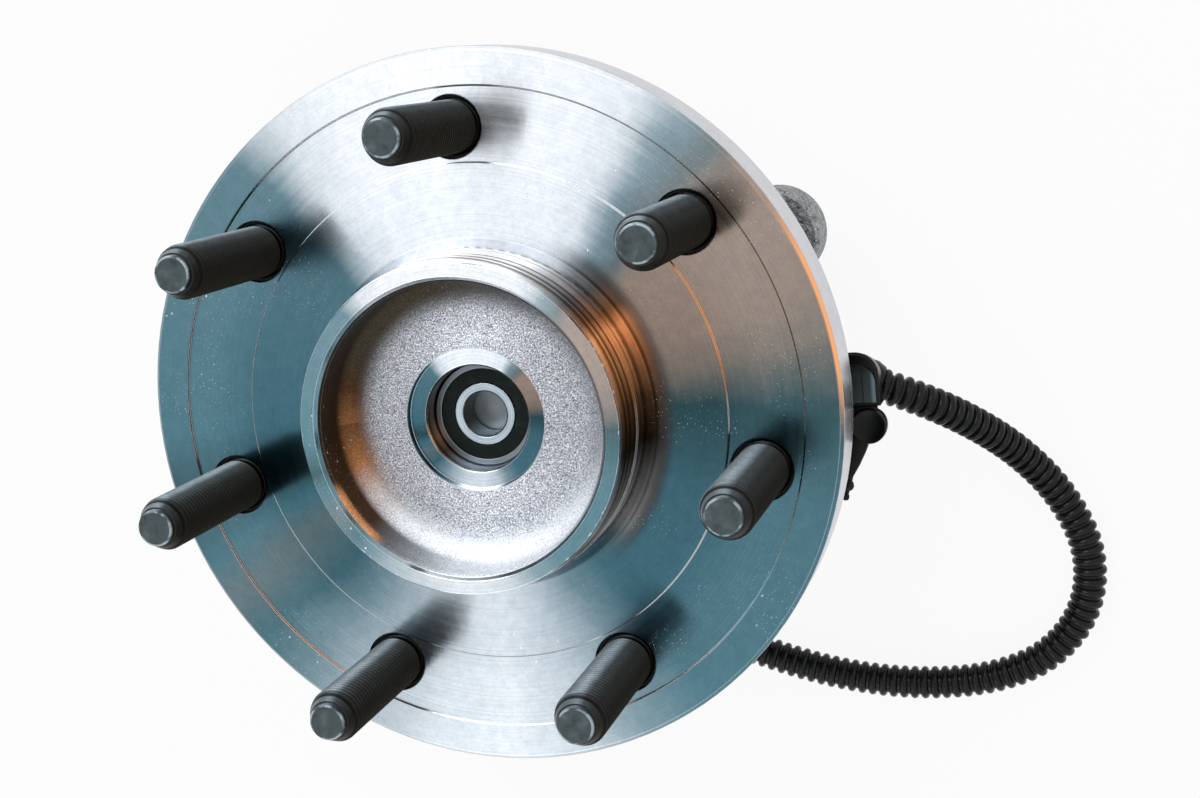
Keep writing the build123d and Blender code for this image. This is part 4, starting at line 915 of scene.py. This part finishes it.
class LeadLook(bpy.types.PropertyGroup):
    """The sensor's ribbed lead."""

    diameter: measure("Diameter", "Outer diameter over the ribs", 0.0095)
    valley_depth: measure("Valley depth", "How deep the valleys are between the ribs", 0.00115)
    rib_count: whole("Ribs", "Number of ribs on the lead", 126, 10)
    rib_share: amount("Rib share", "Part of the pitch that a rib fills", 0.76, 0.2, max=0.95)
    rib_steps: whole("Steps", "Faces round a rib", 28, 8)
    length: measure("Length", "Real length of the lead", 0.379)
    sleeve: hue("Sleeve", "Colour of the ribbed sleeve", (0.0045, 0.0050, 0.0048))
    connector: hue("Connector", "Colour of the connector's housing", (0.030, 0.031, 0.033))
    connector_seal: hue("Connector seal", "Colour of the connector's silicone seal", (0.50, 0.13, 0.03))
    lock: hue("Lock", "Colour of the connector's lock slide", (0.28, 0.29, 0.30))
    brass: hue("Terminals", "Colour of the terminals", (0.72, 0.56, 0.30))


class SensorLook(bpy.types.PropertyGroup):
    """The wheel-speed sensor."""

    body: hue("Body", "Colour of the moulded head", (0.006, 0.0065, 0.006))
    lid: hue("Lid", "Colour of the potted lid", (0.045, 0.062, 0.060))
    # A painted highlight on the lid's raised edge.
    lid_edge_highlight: hue("Lid edge", "Colour of the lid's turned-up edge", (0.24, 0.33, 0.38))
    screw: hue("Screw", "Colour of the plated screw", (0.50, 0.51, 0.50))
    block_draft: amount("Block draft", "How far the block's foot is drawn in, in millimetres", 5.8)
    tab_radius: amount("Tab radius", "Radius of the clip's round tab in millimetres", 4.75, 2.0)
    barb_radius: amount("Barb radius", "Radius of the clip's larger barb in millimetres", 1.6, 0.7)
    gland_radius: amount("Gland radius", "Radius of the lead's gland in millimetres", 6.0, 4.0)


class StageOperator(bpy.types.Operator):
    """Makes the camera, the lamps, the room and the floor"""

    bl_idname = "hub_bearing.make_stage"
    bl_label = "Make Stage"

    def execute(self, context):
        look = context.scene.hub_stage_look
        make_camera(look)
        make_floor()
        make_room(look)
        context.scene.view_settings.view_transform = "Standard"
        return {"FINISHED"}


def make_camera(look):
    """The camera at the photographed angle."""
    data = bpy.data.cameras.new("camera")
    data.lens = look.lens
    data.sensor_width = 36.0
    data.clip_start = 0.01
    data.clip_end = 20.0
    camera = show("camera", data)
    camera.matrix_world = Matrix.Translation(camera_place) @ Matrix(camera_ways).transposed().to_4x4()
    bpy.context.scene.camera = camera


def make_floor():
    """A pale floor that reads white and keeps a faint shadow."""
    shape = bmesh.new()
    bmesh.ops.create_grid(shape, x_segments=1, y_segments=1, size=floor_half_width)
    bmesh.ops.translate(shape, verts=shape.verts, vec=(0, 0, cad_low.z - floor_gap))
    floor = show("floor", to_mesh("floor", shape))
    material = bpy.data.materials.new("white_floor")
    nodes = Nodes(material)
    matt = nodes.node("ShaderNodeBsdfDiffuse", (0.78, 0.78, 0.78, 1.0))
    glow = nodes.node("ShaderNodeEmission", (1.0, 1.0, 1.0, 1.0))
    nodes.show_two("ShaderNodeOutputMaterial", nodes.times(nodes.seen_share(), floor_whiteness), matt, glow)
    floor.data.materials.append(material)


def make_room(look):
    """A white surround for the camera and for mirrors, a softer one for the light, and two soft lamps."""
    world = bpy.data.worlds.new("studio")
    bpy.context.scene.world = world
    nodes = Nodes(world)
    room = nodes.node("ShaderNodeBackground", (0.98, 0.99, 1.0, 1.0), look.world_level)
    white = nodes.node("ShaderNodeBackground", (1.0, 1.0, 1.0, 1.0))
    nodes.show_two("ShaderNodeOutputWorld", nodes.seen_share(), room, white)
    for (name, place, size), power in zip(lamps, (look.key_power, look.fill_power)):
        data = bpy.data.lights.new(name, "AREA")
        data.size = size
        data.energy = power
        lamp = show(name, data)
        lamp.location = place
        lamp.rotation_euler = (-Vector(place)).to_track_quat("-Z", "Y").to_euler()


class LeadOperator(bpy.types.Operator):
    """Makes the ribbed lead along its route and finishes its connector"""

    bl_idname = "hub_bearing.make_lead"
    bl_label = "Make Lead"

    def execute(self, context):
        look = context.scene.hub_lead_look
        curve = route_curve()
        path = bpy.data.meshes.new_from_object(curve)
        points = [tuple(vertex.co) for vertex in path.vertices]
        bpy.data.meshes.remove(path)
        sleeve = ribbed_sleeve(look, curve, points)
        coat = conduit_plastic(look)
        piece = add_piece("ribbed_lead", sleeve, coat, "ring_body", "sensor_conduit")
        housing = moulded("connector_plastic_finish", look.connector, 0.42)
        dress(housing, "connector_cover", "connector_housing")
        dress(ground_steel("terminal_brass_finish", look.brass, 0.3), "connector_terminals")
        dress(rubber("connector_seal_finish", look.connector_seal, 0.4), "connector_seal")
        dress(moulded("lock_plastic_finish", look.lock, 0.4), "connector_lock")
        return {"FINISHED"}


def route_curve():
    """The lead's centre line: one smooth curve steered by its route."""
    data = bpy.data.curves.new("lead_route", "CURVE")
    data.dimensions = "3D"
    data.resolution_u = 16
    spline = data.splines.new("NURBS")
    spline.points.add(len(lead_route) - 1)
    for point, place in zip(spline.points, lead_route):
        point.co = (*place, 1.0)
    spline.order_u = 3
    spline.use_endpoint_u = True
    return show("lead_route", data)


def rib_profile(look, pitch):
    """One rib's outline from valley to valley, as (radius, place along the lead)."""
    crest, valley = look.diameter / 2, look.diameter / 2 - look.valley_depth
    profile = [(valley, 0.0)]
    for step in range(rib_profile_steps + 1):
        angle = math.pi * step / rib_profile_steps
        along = (1 - look.rib_share) / 2 + look.rib_share * (1 - math.cos(angle)) / 2
        profile.append((valley + (crest - valley) * math.sin(angle), pitch * along))
    return profile + [(valley, pitch)]


def ribbed_sleeve(look, curve, points):
    """Round ribs side by side, bent along the route. The straight row and the route are then removed."""
    length = sum((Vector(b) - Vector(a)).length for a, b in zip(points, points[1:]))
    pitch = length / look.rib_count
    rib = bmesh.new()
    turn(rib, rib_profile(look, pitch), look.rib_steps, (1.0, 0.0, 0.0))
    close_up(rib)
    row = show("rib_row", to_mesh("rib_row", rib))
    repeat = row.modifiers.new("repeat", "ARRAY")
    repeat.count = look.rib_count
    repeat.use_relative_offset = False
    repeat.use_constant_offset = True
    repeat.constant_offset_displace = (pitch, 0.0, 0.0)
    repeat.use_merge_vertices = True
    repeat.merge_threshold = 1e-5
    bend = row.modifiers.new("bend", "CURVE")
    bend.object = curve
    bend.deform_axis = "POS_X"
    bpy.context.view_layer.update()
    bent = bpy.data.meshes.new_from_object(row.evaluated_get(bpy.context.evaluated_depsgraph_get()))
    sleeve = bmesh.new()
    sleeve.from_mesh(bent)
    bmesh.ops.holes_fill(sleeve, edges=sleeve.edges, sides=0)
    close_up(sleeve, 1e-7)
    smooth(sleeve, 50)
    for leftover in (row, curve):
        bpy.data.objects.remove(leftover)
    bpy.data.meshes.remove(bent)
    return sleeve


class HubOperator(bpy.types.Operator):
    """Finishes the turned hub and its small bearing"""

    bl_idname = "hub_bearing.make_hub"
    bl_label = "Finish Hub"

    def execute(self, context):
        look = context.scene.hub_ring_look
        dress(HubSteel(context.scene.hub_hub_look).build(), "hub_flange")
        # The small bearing's outer ring is the bearing steel at half its lightness: painted shade.
        dress(ground_steel("nose_outer_steel", shade(look.bearing, 0.5), 0.3), "nose_outer_ring")
        inner = ground_steel("nose_inner_steel", shade(look.bearing, 1.1), 0.24, hole_radius=6.0)
        dress(inner, "nose_inner_ring")
        dress(ground_steel("ball_steel", look.bearing, 0.12, 0.4, 0.005), "nose_balls")
        dress(moulded("nose_cage_nylon", look.nylon, 0.5), "nose_cage")
        dress(rubber("nose_seal_rubber", look.seal, 0.3), "nose_outboard_seal", "nose_inboard_seal")
        dress(ground_steel("pressed_plug_steel", look.plug, 0.42, 0.15, 0.004), "bore_plug")
        return {"FINISHED"}


class StudsOperator(bpy.types.Operator):
    """Makes the threaded wheel studs"""

    bl_idname = "hub_bearing.make_studs"
    bl_label = "Make Studs"

    def execute(self, context):
        look = context.scene.hub_stud_look
        coat = phosphate(look)
        pattern = stud_shape(look)
        for name in stud_names:
            low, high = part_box(name)
            shape = pattern.copy()
            bmesh.ops.translate(shape, verts=shape.verts, vec=((low.x + high.x) / 2, (low.y + high.y) / 2, 0))
            number = name.rsplit("_", 1)[1]
            add_piece(f"threaded_stud_{number}", shape, coat, "hub_body", name)
        pattern.free()
        return {"FINISHED"}


def stud_shape(look):
    """A stud on the spin axis: head and shank, thread, and smooth point."""
    foot, tip, back = first_stud_low.z / mm, first_stud_high.z / mm, flange_back_height
    start = wheel_face_height - 1.0
    head = (first_stud_high.x - first_stud_low.x) / 2 / mm
    shank, neck, point = look.thread_radius + 0.35, look.thread_radius - 0.7, look.thread_radius - 2.15
    shape = bmesh.new()
    turn(shape, [
        (0.0, foot + 0.9), (4.2, foot + 0.9), (4.8, foot), (head - 1.0, foot), (head - 0.3, foot + 0.3),
        (head, foot + 1.0), (head, back - 0.4), (head - 0.4, back), (shank, back), (shank, start - 2.5),
        (neck, start - 2.0), (neck, start + 0.8), (0.0, start + 0.8),
    ], look.steps)
    turn(shape, [
        (0.0, tip - 6.0), (point, tip - 6.0), (point, tip - 0.5), (point - 0.15, tip - 0.15),
        (point - 0.5, tip), (point - 1.6, tip - 0.05), (0.0, tip - 0.12),
    ], look.steps)
    add_shape(shape, thread_shape(look, start, tip - 1.6))
    return to_metres(shape, 38)


def thread_shape(look, start, end):
    """A helical thread between two heights, whose crests run out on a cone towards the point."""
    crest, root, pitch = look.thread_radius, look.thread_radius - look.thread_depth, look.pitch
    turns = math.ceil((end - start) / pitch) + 2
    low = start - pitch
    profile = [
        (root, 0.0), (root, 0.10), (crest - 0.08, 0.42), (crest, 0.47),
        (crest, 0.53), (crest - 0.08, 0.58), (root, 0.90), (root, 1.0),
    ]
    points = [(radius, 0.0, low + share * pitch) for radius, share in profile]
    shape = bmesh.new()
    bmesh.ops.spin(
        shape, geom=chain(shape, points), cent=(0, 0, 0), axis=(0, 0, 1), dvec=(0, 0, pitch / look.steps),
        angle=2 * math.pi * turns, steps=look.steps * turns,
    )
    bmesh.ops.remove_doubles(shape, verts=shape.verts, dist=1e-4)
    for height, keep_above in ((start, True), (end, False)):
        cut = bmesh.ops.bisect_plane(
            shape, geom=shape.verts[:] + shape.edges[:] + shape.faces[:], plane_co=(0, 0, height),
            plane_no=(0, 0, 1), clear_inner=keep_above, clear_outer=not keep_above,
        )
        rim = [item for item in cut["geom_cut"] if isinstance(item, bmesh.types.BMEdge)]
        bmesh.ops.edgeloop_fill(shape, edges=rim)
    cone_start = end - cone_length
    for vert in shape.verts:
        limit = crest - max(0.0, (vert.co.z - cone_start) / (end - cone_start)) * cone_depth
        across = math.hypot(vert.co.x, vert.co.y)
        if across > limit:
            vert.co.x *= limit / across
            vert.co.y *= limit / across
    return shape


class RingOperator(bpy.types.Operator):
    """Finishes the stationary ring, the roller rows and the seals"""

    bl_idname = "hub_bearing.make_ring"
    bl_label = "Finish Ring"

    def execute(self, context):
        look = context.scene.hub_ring_look
        dress(forged_steel(look), "outer_ring")
        ground = ground_steel("ground_bearing_steel", look.bearing)
        dress(ground, "inner_ring", "outboard_rollers", "inboard_rollers")
        dress(ground_steel("drive_ring_steel", shade(look.bearing, 0.8), 0.34, 1.4, 0.03), "drive_ring")
        dress(ground_steel("sintered_tone_steel", look.sintered, 0.5, 1.1, 0.05), "tone_ring")
        dress(moulded("cage_nylon_finish", look.nylon, 0.5), "outboard_cage", "inboard_cage")
        sheet = ground_steel("pressed_sheet_steel", look.sheet, 0.36)
        dress(sheet, "outboard_seal_case", "inboard_seal_case", "inboard_slinger")
        dress(rubber("seal_lip_rubber", look.seal), "outboard_seal_lip", "inboard_seal_lip")
        return {"FINISHED"}


class SensorOperator(bpy.types.Operator):
    """Finishes the wheel-speed sensor, its clip and its collar"""

    bl_idname = "hub_bearing.make_sensor"
    bl_label = "Finish Sensor"

    def execute(self, context):
        look = context.scene.hub_sensor_look
        nylon = moulded("sensor_nylon", look.body, 0.3)
        for name, shape, node in (
            ("moulded_head", head_shape(look), "sensor_body"),
            ("dished_clip", clip_shape(look), "harness_clip"),
            ("lead_gland", gland_shape(look), "conduit_collar"),
        ):
            add_piece(name, shape, nylon, "ring_body", node)
        dress(potted_lid(look), "sensor_lid")
        dress(ground_steel("plated_screw_steel", look.screw, 0.3, 1.6), "sensor_screw", "sensor_bushing")
        dress(ground_steel("pole_steel", look.screw, 0.35, 1.6), "sensor_tip")
        dress(rubber("o_ring_rubber", (0.02, 0.02, 0.02)), "sensor_o_ring")
        return {"FINISHED"}


def head_shape(look):
    """The moulded head: its block is drawn in below the hood, on the side away from the clip."""
    shape = bmesh.new()
    shape.from_mesh(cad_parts["sensor_body"].data)
    resize(shape, 1 / mm)
    bmesh.ops.remove_doubles(shape, verts=shape.verts, dist=1e-3)
    bmesh.ops.dissolve_limit(shape, angle_limit=math.radians(1), verts=shape.verts, edges=shape.edges)
    for vert in shape.verts:
        below = min(1.0, max(0.0, (head_draft_top - vert.co.z) / head_draft_height))
        out = min(1.0, max(0.0, (vert.co.x - head_neck_start) / head_neck_length))
        if vert.co.y > 0:
            vert.co.y -= look.block_draft * below * out
    return to_metres(shape)


def move(shape, place, way):
    """Moves a shape drawn along the spin axis to its place, pointing its own way."""
    turned = Vector(way).normalized().to_track_quat("Z", "Y").to_matrix().to_4x4()
    bmesh.ops.transform(shape, matrix=Matrix.Translation(place) @ turned, verts=shape.verts)


def clip_arm(bottom, top):
    """The harness clip's curved arm, with its sharp edges rounded off."""
    shape = bmesh.new()
    plate = shape.faces.new([shape.verts.new((x, y, bottom + 0.4)) for x, y in clip_arm_outline])
    raised = bmesh.ops.extrude_face_region(shape, geom=[plate])
    lifted = [item for item in raised["geom"] if isinstance(item, bmesh.types.BMVert)]
    bmesh.ops.translate(shape, verts=lifted, vec=(0, 0, top - bottom - 1.6))
    sharp_angle = math.radians(30)
    sharp = [edge for edge in shape.edges if edge.is_manifold and edge.calc_face_angle(0.0) > sharp_angle]
    bmesh.ops.bevel(
        shape, geom=sharp, offset=0.45, offset_type="OFFSET", affect="EDGES", segments=3, profile=0.5,
        material=-1, clamp_overlap=True,
    )
    return shape


def clip_shape(look):
    """The harness clip: a dished round tab, a curved arm, and a stem with two round barbs."""
    bottom, top = hood_bottom_height + 1.0, hood_bottom_height + 5.6
    shape = clip_arm(bottom, top)
    tab = bmesh.new()
    rim = look.tab_radius
    turn(tab, [
        (0.0, bottom), (rim - 0.5, bottom), (rim - 0.1, bottom + 0.4), (rim, bottom + 2.2),
        (rim - 0.08, top - 0.4), (rim - 0.3, top), (rim - 0.6, top - 0.06), (rim - 1.2, top - 0.45),
        (rim - 2.2, top - 0.8), (0.0, top - 1.0),
    ], 48)
    bmesh.ops.translate(tab, verts=tab.verts, vec=(*clip_tab_place, 0.0))
    stem = bmesh.new()
    first, second = look.barb_radius, look.barb_radius * 0.65
    turn(stem, [
        (0.0, -1.5), (0.8, -1.5), (0.8, 0.2), (first * 0.75, 0.5), (first, 1.5), (first * 0.85, 2.4),
        (0.7, 3.0), (0.65, 3.9), (second * 0.85, 4.2), (second, 4.9), (second * 0.8, 5.5), (0.0, 5.9),
    ], 24)
    move(stem, (*clip_stem_foot, (bottom + top) / 2 - 0.2), clip_stem_way)
    add_shape(shape, tab)
    add_shape(shape, stem)
    return to_metres(shape)


def gland_shape(look):
    """The short tapered gland that the lead comes out of."""
    shape = bmesh.new()
    root, mouth = look.gland_radius, look.gland_radius - 0.9
    turn(shape, [
        (0.0, -5.0), (root, -5.0), (root, -1.9), (root - 0.15, -1.6), (mouth, 0.3), (mouth - 0.25, 0.6),
        (0.0, 0.6),
    ], 40)
    move(shape, Vector(lead_exit) / mm, Vector(lead_route[1]) - Vector(lead_exit))
    return to_metres(shape)


class HubBearingPanel(bpy.types.Panel):
    """Lists the steps that make and finish the wheel hub bearing"""

    bl_idname = "VIEW3D_PT_hub_bearing"
    bl_label = "Wheel Hub Bearing"
    bl_space_type = "VIEW_3D"
    bl_region_type = "UI"
    bl_category = "Hub Bearing"

    def draw(self, context):
        for operator in operators:
            self.layout.operator(operator.bl_idname)


looks = {
    "hub_stage_look": StageLook,
    "hub_hub_look": HubLook,
    "hub_stud_look": StudLook,
    "hub_ring_look": RingLook,
    "hub_lead_look": LeadLook,
    "hub_sensor_look": SensorLook,
}
operators = [StageOperator, LeadOperator, HubOperator, StudsOperator, RingOperator, SensorOperator]


def register():
    """Adds the looks, the operators and the panel."""
    for name, look in looks.items():
        bpy.utils.register_class(look)
        setattr(bpy.types.Scene, name, PointerProperty(type=look))
    for operator in operators:
        bpy.utils.register_class(operator)
    bpy.utils.register_class(HubBearingPanel)


def unregister():
    """Takes them out again."""
    bpy.utils.unregister_class(HubBearingPanel)
    for operator in reversed(operators):
        bpy.utils.unregister_class(operator)
    for name, look in reversed(looks.items()):
        delattr(bpy.types.Scene, name)
        bpy.utils.unregister_class(look)


def main():
    """Makes the stage and every piece."""
    register()
    for operator in operators:
        group, step = operator.bl_idname.split(".")
        getattr(getattr(bpy.ops, group), step)()


if __name__ == "__main__":
    main()
